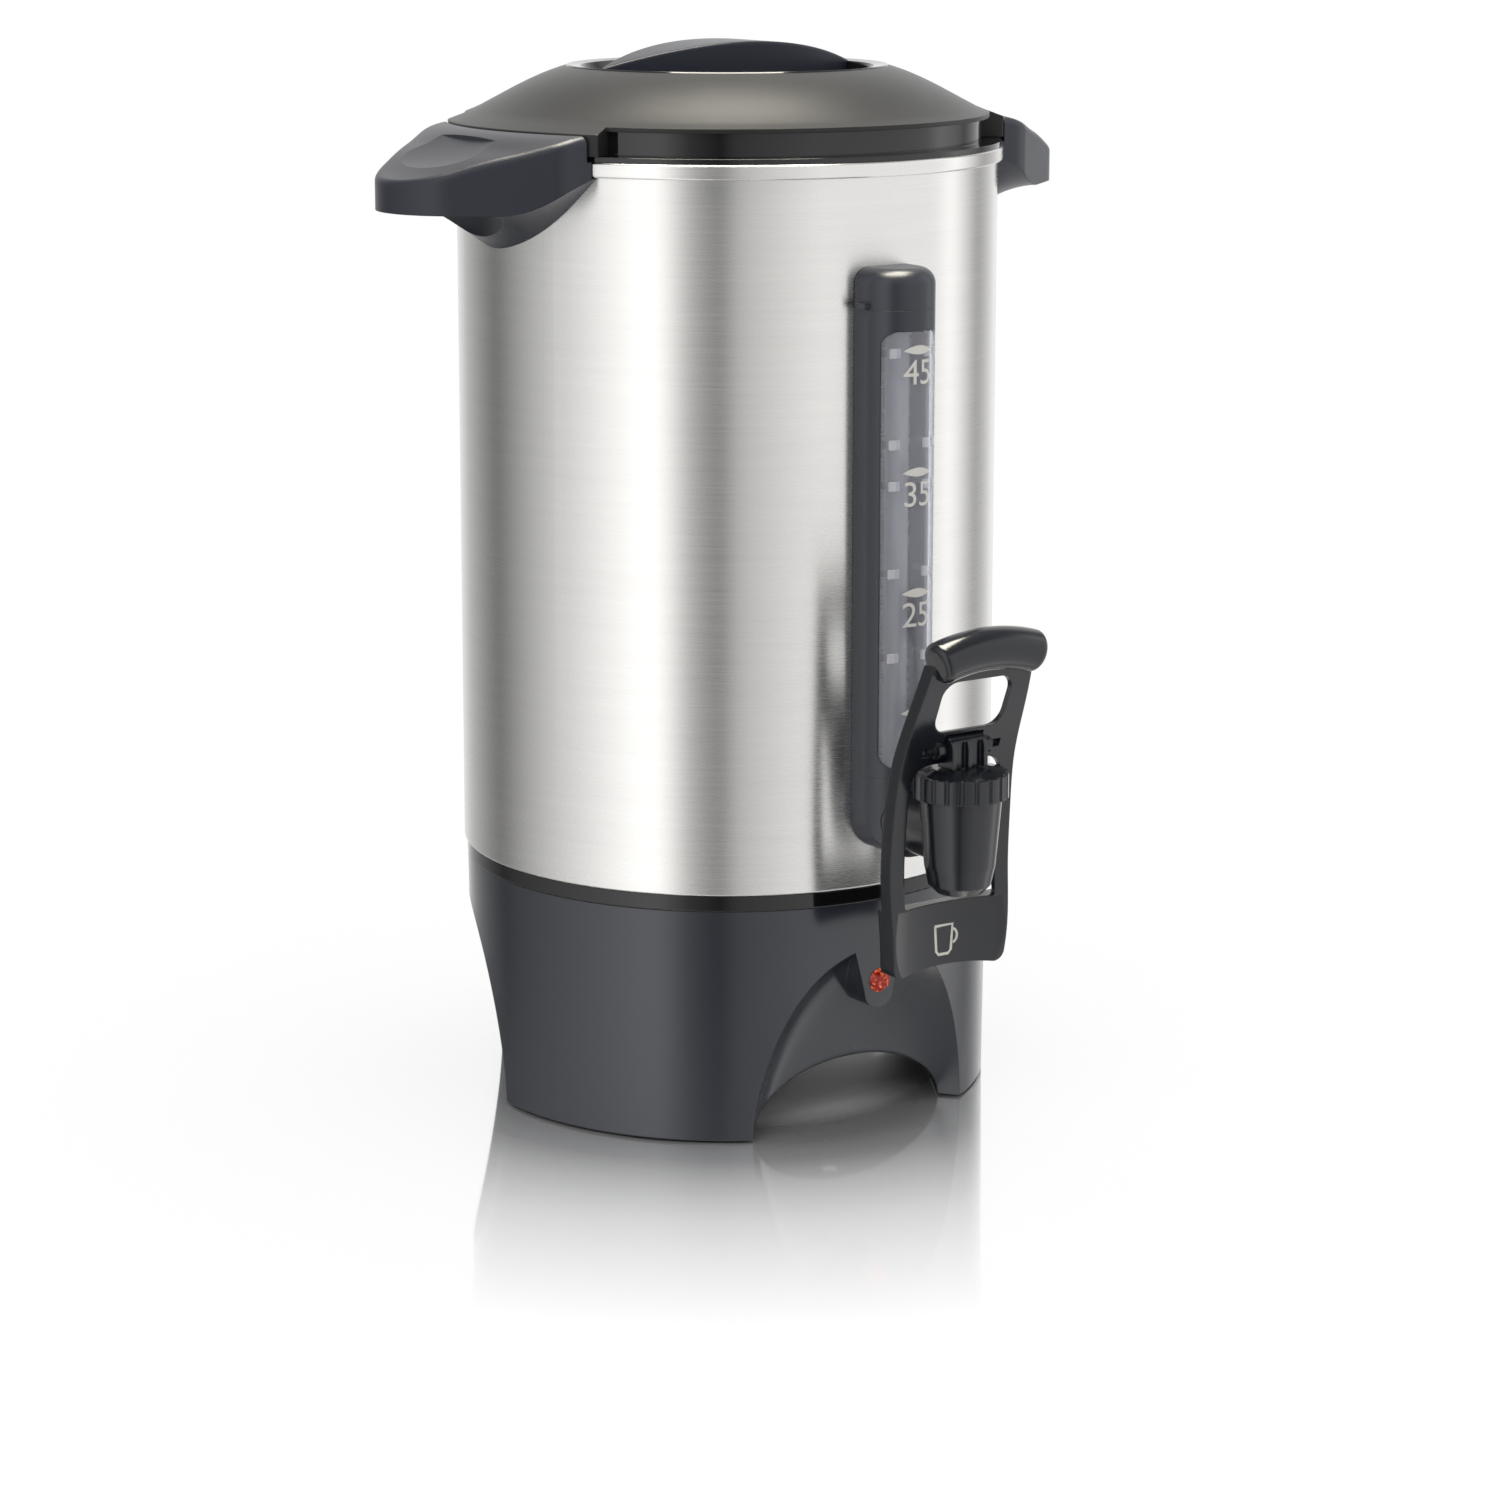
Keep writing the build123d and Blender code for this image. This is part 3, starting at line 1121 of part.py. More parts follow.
def make_lid_dome():
    outer = dome_curve(0)
    inner = dome_curve(PLASTIC)
    ledge_r = DISH_R - DISH_LEDGE_W
    seat_z = DISH_RIM_Z - PLASTIC
    edges = Spline(*outer)
    edges += Polyline(
        outer[-1],
        (DISH_R + FIT, seat_z),
        (ledge_r, seat_z),
        (ledge_r, seat_z - PLASTIC),
        (DISH_R + FIT, seat_z - PLASTIC),
        (inner[2][0] - 2 * PLASTIC, inner[2][1]),
        (LID_BAND_R - PLASTIC, DOME_Z),
        (LID_RIM_R, DOME_Z),
        outer[0],
    )
    dome = revolve(Plane.XZ * make_face(edges), Axis.Z)
    return dome + [lid_ear(turn) for turn in (0, 180)]


def lid_ear(turn):
    """Ear of the lid over one handle: a sector with an upright outer wall, hollow below."""
    rim_top = DOME_Z + LID_RIM_H
    low = BAND_Z + FIT
    inner = LID_BAND_R + FIT
    face = make_face(
        Polyline(
            (inner, low),
            (LID_EAR_R, low),
            (LID_EAR_R, rim_top - LID_EAR_DROP),
            (LID_RIM_R, rim_top),
            (inner, rim_top),
            close=True,
        )
    )
    start = turn - EAR_SPREAD / 2
    ear = revolve(Rot(0, 0, start) * (Plane.XZ * face), Axis.Z, EAR_SPREAD)
    outer_edges = [e for e in ear.edges() if outer_corner(e)]
    ear = fillet(outer_edges, LID_EAR_EDGE_R)
    groove = make_face(
        Polyline(
            (inner + LID_EAR_WALL, low - 1),
            (LID_EAR_R - LID_EAR_WALL, low - 1),
            (LID_EAR_R - LID_EAR_WALL, rim_top - LID_EAR_DROP - LID_EAR_WALL),
            (inner + LID_EAR_WALL, rim_top - LID_EAR_DROP - LID_EAR_WALL),
            close=True,
        )
    )
    inset = math.degrees(LID_EAR_WALL / LID_EAR_R)
    cut = revolve(Rot(0, 0, start + inset) * (Plane.XZ * groove), Axis.Z, EAR_SPREAD - 2 * inset)
    return ear - cut


def outer_corner(edge):
    """True for the upright edges and the top edge on the ear's outer wall."""
    middle = edge.position_at(0.5)
    reach = math.hypot(middle.X, middle.Y)
    return reach > LID_EAR_R - 0.05 and middle.Z > BAND_Z + 1


def dish_surface(extra):
    """Section of the dish's upper face: a flat floor, then a curve up to its rim."""
    low, high = DISH_FLOOR_Z + extra, DISH_RIM_Z + extra
    rim_r = DISH_R - DISH_LEDGE_W - LIFT_GAP - PLASTIC / 2
    rise = Spline((DISH_FLOOR_R, low), (rim_r, high), tangents=((1, 0), (0.3, 1)))
    return Line((0, low), (DISH_FLOOR_R, low)) + rise, (rim_r, high)


def make_lid_dish():
    top, rim = dish_surface(0)
    seat_z = DISH_RIM_Z - PLASTIC
    wall_r = DISH_R - DISH_LEDGE_W - LIFT_GAP
    outline = top + Polyline(
        rim,
        (DISH_R - DISH_BEAD, DISH_RIM_Z + DISH_BEAD),
        (DISH_R, DISH_RIM_Z),
        (DISH_R, seat_z),
        (wall_r, seat_z),
        (wall_r, seat_z - PLASTIC),
        (DISH_FLOOR_R, DISH_FLOOR_Z - PLASTIC),
        (0, DISH_FLOOR_Z - PLASTIC),
        (0, DISH_FLOOR_Z),
    )
    return revolve(Plane.XZ * make_face(outline), Axis.Z)


def make_lid_grip():
    half = DISH_R - GRIP_FIN_TO_DISH
    side = ThreePointArc((-half, 0), (0, -GRIP_FIN_HALF_W), (half, 0))
    other = ThreePointArc((half, 0), (0, GRIP_FIN_HALF_W), (-half, 0))
    fin = extrude(Pos(0, 0, DISH_FLOOR_Z) * make_face(side + other), 2 * DISH_DEPTH)
    # arched top
    top = DISH_RIM_Z + GRIP_FIN_TOP_UP
    arc_r = (half**2 + GRIP_FIN_FALL**2) / (2 * GRIP_FIN_FALL)
    fin = fin & rod_y(arc_r, -DISH_R, DISH_R, 0, top - arc_r)
    fin = fillet(fin.faces().sort_by(Axis.Z)[-1].edges(), GRIP_FIN_EDGE_R)
    # the foot follows the dish
    lift, rim = dish_surface(FIT)
    start = (0, DISH_FLOOR_Z + FIT)
    bowl = lift + Polyline(rim, (DISH_R + 1, rim[1]), (DISH_R + 1, 0), (0, 0), start)
    return fin - revolve(Plane.XZ * make_face(bowl), Axis.Z)


def make_lid_liner():
    liner = disc(SPIGOT_R, SPIGOT_Z - SHEET, SPIGOT_Z)
    hole = disc(LID_SCREW_R + FIT, 0, TANK_TOP_Z, LID_SCREW_RADIUS, 0)
    return liner - around(hole, LID_SCREW_ANGLES)


def make_lid_screws():
    low = SPIGOT_Z - SHEET
    screw = disc(LID_SCREW_R, low, SPIGOT_Z + LID_SCREW_L - 1, LID_SCREW_RADIUS, 0)
    screw += disc(SCREW_HEAD_R, low - SCREW_HEAD_H, low, LID_SCREW_RADIUS, 0)
    return around(screw, LID_SCREW_ANGLES)


# ---- coffee basket ----


def make_coffee_basket():
    low, top = BASKET_FOOT_Z, BASKET_FOOT_Z + BASKET_H
    basket = disc(BASKET_R, low, top) - disc(BASKET_R - SHEET, low + SHEET, top + 1)
    hub = disc(BASKET_HUB_R, low, low + BASKET_HUB_H)
    basket = basket + hub - disc(PUMP_R + LIFT_GAP, low - 1, top)
    return basket - ring_of_holes(DRAIN_R, low - 1, low + SHEET + 1, DRAIN_ROW_RADII, DRAIN_COUNTS)


def make_basket_cover():
    top = BASKET_FOOT_Z + BASKET_H
    cover = disc(BASKET_R, top, top + SHEET)
    cover += tube(BASKET_COVER_R, BASKET_COVER_R - SHEET, top - BASKET_COVER_LIP, top)
    hub_r = PUMP_R + LIFT_GAP + SHEET
    cover += disc(hub_r, top, top + BASKET_COVER_KNOB_H)
    cover -= disc(PUMP_R + LIFT_GAP, 0, top + 2 * BASKET_COVER_KNOB_H)
    # its outermost row lies over the basket's wall and is left out
    holes = ring_of_holes(DRAIN_R, top - 1, top + SHEET + 1, DRAIN_ROW_RADII[:-1], DRAIN_COUNTS)
    return cover - holes


def pump_foot_floor():
    return WELL_FLOOR_Z + SHEET


def make_pump_tube():
    low = pump_foot_floor() + PUMP_FOOT_H
    pipe = disc(PUMP_R, low, PUMP_TOP_Z)
    pipe += disc(PUMP_COLLAR_R, BASKET_FOOT_Z - PUMP_COLLAR_H, BASKET_FOOT_Z)
    return pipe - disc(PUMP_R - SHEET, low - 1, PUMP_TOP_Z + 1)


def make_pump_foot():
    low = pump_foot_floor()
    neck = PUMP_R + SHEET
    high = low + PUMP_FOOT_H
    slope = PUMP_FOOT_SLOPE_H
    foot = turned(
        [
            (PUMP_FOOT_R - PUMP_FOOT_T, low),
            (PUMP_FOOT_R, low),
            (neck, low + slope),
            (neck, high + PUMP_NECK_H),
            (PUMP_R + FIT, high + PUMP_NECK_H),
            (PUMP_R + FIT, high),
            (PUMP_R - SHEET, high),
            (PUMP_R - SHEET, low + slope - PUMP_FOOT_T),
        ]
    )
    wide = PUMP_SLOT_HALF_W
    slot = block(-wide, wide, -PUMP_FOOT_R, PUMP_FOOT_R, low - 1, low + PUMP_SLOT_H)
    return foot - slot - Rot(0, 0, 90) * slot


def make_valve_washer():
    low = pump_foot_floor()
    return tube(VALVE_R, STEM_R, low, low + VALVE_T)


save("base_shell", make_base_shell())
save("base_ring", make_base_ring())
save("bottom_cover", make_bottom_cover())
save("cover_screws", make_cover_screws())
save("rubber_feet", make_rubber_feet())
save("tank_studs", make_tank_studs())
save("stud_nuts", make_stud_nuts())
save("indicator_lens", make_indicator_lens())
save("indicator_lamp", make_indicator_lamp())
save("power_inlet", make_power_inlet())
save("inlet_pins", make_inlet_pins())
save("inlet_screws", make_inlet_screws())
save("steel_body", make_steel_body())
save("heating_well", make_heating_well())
save("brew_heater", make_brew_heater())
save("keep_warm_heater", make_keep_warm_heater())
save("heat_shield", make_heat_shield())
save("well_stud", make_well_stud())
save("well_nut", make_well_nut())
save("thermostat", make_thermostat())
save("thermal_fuse", make_thermal_fuse())
right_handle = make_handle()
save("right_handle", right_handle)
save("left_handle", mirror(right_handle, Plane.YZ))
save("handle_screws", make_handle_screws())
save("gauge_housing", make_gauge_housing())
save("gauge_base", make_gauge_base())
save("gauge_window", make_gauge_window())
save("sight_tube", make_sight_tube())
save("tube_seals", make_tube_seals())
save("gauge_screws", make_gauge_screws())
save("gauge_cap", make_gauge_cap())
save("tap_body", make_tap_body())
save("shank_gasket", make_shank_gasket())
save("shank_nut", make_shank_nut())
save("bonnet", make_bonnet())
save("seat_cup", make_seat_cup())
save("tap_stem", make_stem())
save("stem_spring", make_stem_spring())
save("stem_head", make_stem_head())
save("lever_pin", make_lever_pin())
save("tap_lever", make_lever())
save("lid_band", make_lid_band())
save("lid_dome", make_lid_dome())
save("lid_dish", make_lid_dish())
save("lid_grip", make_lid_grip())
save("lid_liner", make_lid_liner())
save("lid_screws", make_lid_screws())
save("coffee_basket", make_coffee_basket())
save("basket_cover", make_basket_cover())
save("pump_tube", make_pump_tube())
save("pump_foot", make_pump_foot())
save("valve_washer", make_valve_washer())
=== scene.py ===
"""Coffee urn: finishes, printed scale and studio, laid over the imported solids."""

import math

import bmesh
import bpy
from bpy.props import FloatProperty, FloatVectorProperty, PointerProperty
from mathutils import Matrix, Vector
from mathutils.bvhtree import BVHTree


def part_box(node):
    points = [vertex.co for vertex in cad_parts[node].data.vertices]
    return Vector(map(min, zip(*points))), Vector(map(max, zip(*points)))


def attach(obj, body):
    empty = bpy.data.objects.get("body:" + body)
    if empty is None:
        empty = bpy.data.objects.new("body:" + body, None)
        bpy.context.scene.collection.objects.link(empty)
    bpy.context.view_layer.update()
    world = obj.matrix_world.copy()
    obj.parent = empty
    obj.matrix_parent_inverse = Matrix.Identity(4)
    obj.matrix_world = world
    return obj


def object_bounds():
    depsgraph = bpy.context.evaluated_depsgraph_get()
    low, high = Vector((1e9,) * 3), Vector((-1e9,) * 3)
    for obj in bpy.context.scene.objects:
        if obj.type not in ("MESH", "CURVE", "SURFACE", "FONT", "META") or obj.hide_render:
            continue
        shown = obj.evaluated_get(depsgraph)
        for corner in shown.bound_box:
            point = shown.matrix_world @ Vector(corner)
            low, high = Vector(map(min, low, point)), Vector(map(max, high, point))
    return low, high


bl_info = {
    "name": "Coffee Urn Dresser",
    "version": (1, 0, 0),
    "blender": (4, 5, 0),
    "location": "View3D > Sidebar > Coffee Urn",
    "description": "Gives the coffee urn its finishes, its printed scale and a studio",
    "category": "Object",
}

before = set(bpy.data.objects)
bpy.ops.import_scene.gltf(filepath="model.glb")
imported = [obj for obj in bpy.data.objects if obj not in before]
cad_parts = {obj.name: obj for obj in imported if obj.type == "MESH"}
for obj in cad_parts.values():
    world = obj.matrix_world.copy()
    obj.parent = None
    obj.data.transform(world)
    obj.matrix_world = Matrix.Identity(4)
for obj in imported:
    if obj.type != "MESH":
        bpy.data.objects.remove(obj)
CAD_LOW, CAD_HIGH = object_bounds()
MM = 0.001

# ---- the urn's fixed values ----

# CAD nodes that share one bright steel
SMALL_STEEL = (
    *("cover_screws", "tank_studs", "stud_nuts", "inlet_screws", "well_stud", "well_nut"),
    *("handle_screws", "gauge_screws", "lid_screws", "stem_spring", "tap_stem", "lever_pin"),
)

# Width of the grain in the finishes
PLASTIC_GRAIN = 0.5 * MM
METAL_GRAIN = 1.2 * MM
LENS_FACET = 1.0 * MM
# Brushed steel: how fast its lines change and drift over a radian, how fast its broad bands change
# over a radian and over a metre of height, and the share that the lines have in its tone
LINE_CHANGE, LINE_DRIFT = 2.2, 0.7
BAND_CHANGE, BANDS_PER_METRE = 1.5, 260.0
LINE_SHARE = 0.6
# How much rounder the tap's edges are than the others
TAP_ROUNDER = 1.6

# Level scale: its numbers, a digit's height as a share of its font's size, and their spacing
SCALE_NUMBERS = (15, 25, 35, 45)
DIGIT_SHARE = 0.72
DIGIT_SPACING = 0.96
# Leaf-shaped mark: its points on one side, the share of its height that lies above its line, and
# the power that makes its top fuller than its underside
LEAF_STEPS = 16
LEAF_ABOVE = 0.62
LEAF_FULLNESS = 0.8

# Tube clips: gaps to the tube and to the window's side, depth behind the window's front, edges
CLIP_TUBE_GAP = 0.6 * MM
CLIP_SIDE_GAP = 2.2 * MM
CLIP_DEPTH = 4.6 * MM
CLIP_ROUND = 0.4 * MM

# Cup symbol, in shares of its height from its middle: the wall, then the arc of the handle
CUP_WALL = (
    *((-0.36, 0.5), (-0.3, -0.36), (-0.2, -0.48), (0.2, -0.48)),
    *((0.3, -0.36), (0.36, 0.5), (-0.36, 0.5), (-0.355, 0.4)),
)
CUP_HANDLE_X, CUP_HANDLE_Z = 0.34, 0.1
CUP_HANDLE_OUT, CUP_HANDLE_UP = 0.2, 0.24
CUP_HANDLE_DEGREES = range(-78, 79, 13)
# Thickness of the symbol's line as a share of its height, and the handle's as a share of that
CUP_LINE = 0.1
CUP_HANDLE_LINE = 0.9
# Height of the symbol's middle above the lever's lowest point
CUP_RISE = 10.6 * MM

# Longest edge of a printed mesh, so that it follows the surface under it, and how often it is cut
SCALE_EDGE = 1.2 * MM
CUP_EDGE = 1.5 * MM
MOST_CUTS = 6
# How far in front of the urn the rays start that find a printed surface, in metres
RAY_START = 0.1

# ---- the studio's fixed values ----

# Soft panels round the urn and the gaps between them, which glossy surfaces mirror: degrees from
# the front towards +X, and brightness as a share of the brightest panel
PANELS = (
    (-180, 0.38),
    (-150, 0.12),  # gap behind the left panel
    (-95, 0.7),
    (-70, 1.0),  # left panel, which ends sharply
    (-63, 1.0),
    (-50, 0.35),
    (-37, 0.12),  # narrow gap
    (-30, 0.4),
    (5, 0.7),  # front panel, dimmer towards the gap
    (65, 0.7),
    (75, 0.97),  # right strip
    (98, 0.25),  # gap
    (125, 0.65),  # rear panel
    (160, 0.6),
    (180, 0.38),
)
PANEL_STRENGTH = 1.65
# Share of the panels that shows at heights from 0, straight down, to 1, straight up
CEILING = ((0.0, 1.0), (0.8, 1.0), (0.87, 0.0), (1.0, 0.0))
CEILING_SHADE = (0.24, 0.24, 0.24)
# Even light on matte surfaces, and the white that is seen behind the urn
ROOM_STRENGTH = 0.42
BACKDROP_STRENGTH = 1.0
WHITE = (1.0, 1.0, 1.0)

# Area lamps: name, place, side in metres, power in watts, tint, and True where the lamp only
# shows in glossy surfaces or False where it only lights matte ones
LAMPS = (
    ("key_light", (-1.1, -0.9, 1.3), 0.9, 9.0, (1.0, 1.0, 1.0), False),
    ("fill_light", (1.3, -0.7, 1.0), 0.9, 6.0, (1.0, 1.0, 1.0), False),
    ("top_light", (-0.05, -0.1, 1.7), 1.0, 8.0, (1.0, 0.99, 0.97), False),
    ("back_light", (0.02, 0.035, 1.75), 1.05, 78.0, (1.0, 0.94, 0.82), True),
)
LAMP_AIM = (0.0, 0.0, 0.25)

FLOOR_RADIUS = 0.75
FLOOR_SEGMENTS = 96
# The floor at distances from the urn's middle in metres: how much it mirrors, how solid it is
FLOOR_MIRROR = ((0.058, 0.0), (0.084, 1.0))
FLOOR_FADE = ((0.1, 1.0), (0.12, 0.93), (0.145, 0.72), (0.185, 0.43), (0.22, 0.26), (0.28, 0.0))
MIRROR_GAIN = 1.15

CAMERA_PLACE = (-0.8287, -1.2194, 0.4694)
CAMERA_TURN = math.radians(-34.2)
CAMERA_TILT = math.radians(10.514)
CAMERA_LENS = 92.97
CAMERA_SENSOR = 36.0
CAMERA_SHIFT = (0.0153, -0.1164)


# ---- sizes and colours that a user would change ----


class UrnSizes(bpy.types.PropertyGroup):
    """Sizes of the printed marks, the tube clips and the grain of the finishes."""

    digit_height: FloatProperty(
        name="Digit height",
        description="Height of the numbers on the level scale",
        default=9.0 * MM,
        unit="LENGTH",
    )
    digit_drop: FloatProperty(
        name="Digit drop",
        description="How far the middle of a number lies below its mark",
        default=7.6 * MM,
        unit="LENGTH",
    )
    mark_width: FloatProperty(
        name="Mark width",
        description="Length of one leaf-shaped mark",
        default=12.0 * MM,
        unit="LENGTH",
    )
    mark_height: FloatProperty(
        name="Mark height",
        description="Height of one leaf-shaped mark at its middle",
        default=3.3 * MM,
        unit="LENGTH",
    )
    first_mark: FloatProperty(
        name="First mark",
        description="Height of the lowest mark above the floor",
        default=163.7 * MM,
        unit="LENGTH",
    )
    mark_step: FloatProperty(
        name="Mark step",
        description="Height of ten cups in the steel body",
        default=44.1 * MM,
        unit="LENGTH",
    )
    clip_places: FloatVectorProperty(
        name="Clip places",
        description="How far each pair of tube clips lies below the top of the gauge",
        default=[below * MM for below in (126.5, 95.5, 63.5, 48.5, 15.5)],
        size=5,
        unit="LENGTH",
    )
    clip_height: FloatProperty(
        name="Clip height",
        description="Height of one tube clip",
        default=3.6 * MM,
        unit="LENGTH",
    )
    clip_thickness: FloatProperty(
        name="Clip thickness",
        description="Thickness of one tube clip from front to back",
        default=1.2 * MM,
        unit="LENGTH",
    )
    symbol_height: FloatProperty(
        name="Symbol height",
        description="Height of the cup symbol on the pad",
        default=11.0 * MM,
        unit="LENGTH",
    )
    print_lift: FloatProperty(
        name="Print lift",
        description="How far printing stands off the surface under it",
        default=0.06 * MM,
        unit="LENGTH",
    )
    brush_pitch: FloatProperty(
        name="Brush pitch",
        description="Spacing of the brush lines on the steel body",
        default=0.35 * MM,
        unit="LENGTH",
    )
    edge_round: FloatProperty(
        name="Edge rounding",
        description="Radius that softens moulded edges",
        default=0.5 * MM,
        unit="LENGTH",
    )


def colour(name, description, value):
    """A colour property."""
    return FloatVectorProperty(
        name=name, description=description, default=value, subtype="COLOR", size=3, min=0, max=1
    )


class UrnColours(bpy.types.PropertyGroup):
    """Colours of the urn's finishes."""

    base: colour("Base", "Moulded base shell", (0.019, 0.022, 0.032))
    lid: colour("Lid", "Lid dome", (0.021, 0.0212, 0.0205))
    handle: colour("Handles", "Side handles, gauge housing and lid grip", (0.025, 0.0282, 0.04))
    tap: colour("Tap", "Tap and lever", (0.0108, 0.0122, 0.017))
    gloss: colour("Gloss", "Glossy trim and dish", (0.006, 0.006, 0.0065))
    steel: colour("Steel", "Brushed steel body", (0.677, 0.67, 0.655))
    printing: colour("Printing", "Scale and symbol", (0.8, 0.79, 0.73))
    lens: colour("Lens", "Lamp lens", (0.85, 0.06, 0.02))
    floor: colour("Floor", "Studio floor", (0.95, 0.95, 0.95))


# ---- shader maths ----


class Value:
    """A shader socket that takes part in Python expressions."""

    def __init__(self, shader, socket):
        self.shader = shader
        self.socket = socket

    def _maths(self, operation, *terms):
        return self.shader.add("Math", dict(enumerate(terms)), {"operation": operation})

    def __add__(self, other):
        return self._maths("ADD", self, other)

    def __radd__(self, other):
        return self._maths("ADD", other, self)

    def __sub__(self, other):
        return self._maths("SUBTRACT", self, other)

    def __rsub__(self, other):
        return self._maths("SUBTRACT", other, self)

    def __mul__(self, other):
        return self._maths("MULTIPLY", self, other)

    def __rmul__(self, other):
        return self._maths("MULTIPLY", other, self)

    def __truediv__(self, other):
        return self._maths("DIVIDE", self, other)

    def __rtruediv__(self, other):
        return self._maths("DIVIDE", other, self)

    def __pow__(self, other):
        return self._maths("POWER", self, other)

    def __rpow__(self, other):
        return self._maths("POWER", other, self)


class Shader:
    """Node tree of one material or of the world."""

    def __init__(self, tree):
        self.tree = tree
        tree.nodes.clear()

    def add(self, kind, inputs=None, settings=None, out=0):
        """Any node: its type, the values or links of its sockets, its settings, its output used."""
        node = self.tree.nodes.new("ShaderNode" + kind)
        for key, value in (settings or {}).items():
            if key == "stops":
                self._set_stops(node.color_ramp, value)
            else:
                setattr(node, key, value)
        for key, value in (inputs or {}).items():
            socket = node.inputs[key]
            if isinstance(value, Value):
                self.tree.links.new(value.socket, socket)
            else:
                socket.default_value = value
        return Value(self, node.outputs[out] if node.outputs else None)

    @staticmethod
    def _set_stops(ramp, stops):
        while len(ramp.elements) < len(stops):
            ramp.elements.new(1.0)
        for element, (place, shade) in zip(ramp.elements, stops):
            element.position = place
            element.color = (shade, shade, shade, 1.0)

    def place(self):
        """Position on the object, in metres in the urn's frame."""
        return self.add("TexCoord", out="Object")

    def parts(self, where):
        """X, Y and Z of a place or direction."""
        return [self.add("SeparateXYZ", {"Vector": where}, out=axis) for axis in "XYZ"]

    def turn(self, x, y):
        """Angle round the Z axis in radians: 0 at the front, growing towards +X."""
        return self.add("Math", {0: x, 1: y * -1.0}, {"operation": "ARCTAN2"})

    def noise(self, where, scale, detail=2.0, roughness=0.5):
        """Noise from 0 to 1."""
        inputs = {"Vector": where, "Scale": scale, "Detail": detail, "Roughness": roughness}
        return self.add("TexNoise", inputs)

    def cells(self, where, scale, channel):
        """Level from 0 to 1 that is even over each crystal or facet of a random pattern."""
        colours = self.add("TexVoronoi", {"Vector": where, "Scale": scale}, out="Color")
        return self.add("SeparateColor", {"Color": colours}, out=channel)

    def steps(self, value, *stops):
        """Brightness that follows stops of (value, brightness)."""
        return self.add("ValToRGB", {"Fac": value}, {"stops": stops})

    def blend(self, share, dark, light):
        """Mixes two colours, each an RGB tuple or another node's colour."""
        ends = [end if isinstance(end, Value) else (*end, 1.0) for end in (dark, light)]
        # Mix has one set of sockets for each data type, and 6, 7 and 2 are those for colours
        return self.add("Mix", {0: share, 6: ends[0], 7: ends[1]}, {"data_type": "RGBA"}, out=2)

    def tones(self, share, shade, dark, light):
        """Mixes two tones of one colour, each given as a factor of it."""
        return self.blend(share, scaled(shade, dark), scaled(shade, light))

    def relief(self, height, depth, strength, edge=0.0):
        """Normal from a height map, over softened edges."""
        inputs = {"Height": height, "Distance": depth, "Strength": strength}
        if edge:
            inputs["Normal"] = self.add("Bevel", {"Radius": edge}, {"samples": 4})
        return self.add("Bump", inputs)

    def surface(self, sockets):
        """Principled surface linked to the output."""
        self.add("OutputMaterial", {"Surface": self.add("BsdfPrincipled", sockets)})


def scaled(shade, factor):
    """A colour made darker or lighter, at most white."""
    return tuple(min(1.0, channel * factor) for channel in shade)


def swing(value, spread):
    """Turns a level from 0 to 1 into one that swings evenly round 0."""
    return (value - 0.5) * spread


def new_material(name):
    """A material and the shader that builds its nodes."""
    material = bpy.data.materials.new(name)
    material.use_nodes = True
    return material, Shader(material.node_tree)


# ---- finishes ----


def moulded(name, shade, roughness, depth=0.02 * MM, edge=0.0, ior=1.5):
    """Moulded plastic: fine grain over slight mottling."""
    material, shader = new_material(name)
    where = shader.place()
    mottle = shader.noise(where, scale=60.0, detail=3.0)
    grains = shader.noise(where, scale=1.0 / PLASTIC_GRAIN)
    sockets = {
        "Base Color": shader.tones(mottle, shade, dark=0.95, light=1.05),
        "Roughness": swing(mottle, 0.04) + swing(grains, 0.06) + roughness,
        "Normal": shader.relief(grains, depth, strength=0.6, edge=edge),
        "IOR": ior,
    }
    shader.surface(sockets)
    return material


def polished(name, shade, edge):
    """Glossy black plastic with a faint moulding ripple and hairline wear."""
    material, shader = new_material(name)
    where = shader.place()
    ripple = shader.noise(where, scale=45.0, detail=1.0)
    hair = shader.noise(where, scale=900.0)
    sockets = {
        "Base Color": shader.tones(ripple, shade, dark=0.8, light=1.3),
        "Roughness": swing(hair, 0.06) + 0.06,
        "Normal": shader.relief(ripple, 0.05 * MM, strength=0.35, edge=edge),
        "IOR": 1.52,
    }
    shader.surface(sockets)
    return material


def brushed_round(name, shade, pitch):
    """Steel brushed round the body: long fine lines that run level round the Z axis."""
    material, shader = new_material(name)
    x, y, z = shader.parts(shader.place())
    turn = shader.turn(x, y)
    # noise that changes slowly round the body and fast up it draws out into level lines
    lines = {"X": turn * LINE_CHANGE, "Y": z / pitch, "Z": turn * LINE_DRIFT}
    fine = shader.noise(shader.add("CombineXYZ", lines), scale=1.0, detail=3.0, roughness=0.6)
    bands = {"X": turn * BAND_CHANGE, "Y": z * BANDS_PER_METRE}
    broad = shader.noise(shader.add("CombineXYZ", bands), scale=1.0)
    tone = fine * LINE_SHARE + broad * (1.0 - LINE_SHARE)
    sockets = {
        "Base Color": shader.tones(tone, shade, dark=0.9, light=1.08),
        "Metallic": 1.0,
        "Roughness": swing(fine, 0.12) + 0.27,
        "Anisotropic": 0.75,
        "Anisotropic Rotation": 0.25,
        "Normal": shader.relief(fine, 0.012 * MM, strength=0.5),
    }
    shader.surface(sockets)
    return material


def metal(name, shade, roughness, tint=None):
    """Plain worked metal with fine drawn grain and, where asked for, a heat tint."""
    material, shader = new_material(name)
    where = shader.place()
    grains = shader.noise(where, scale=1.0 / METAL_GRAIN, detail=3.0)
    cloud = shader.noise(where, scale=70.0)
    sockets = {
        "Base Color": shader.blend(cloud, scaled(shade, 0.88), tint or scaled(shade, 1.1)),
        "Metallic": 1.0,
        "Roughness": swing(grains, 0.15) + roughness,
        "Normal": shader.relief(grains, 0.02 * MM, strength=0.4),
    }
    shader.surface(sockets)
    return material


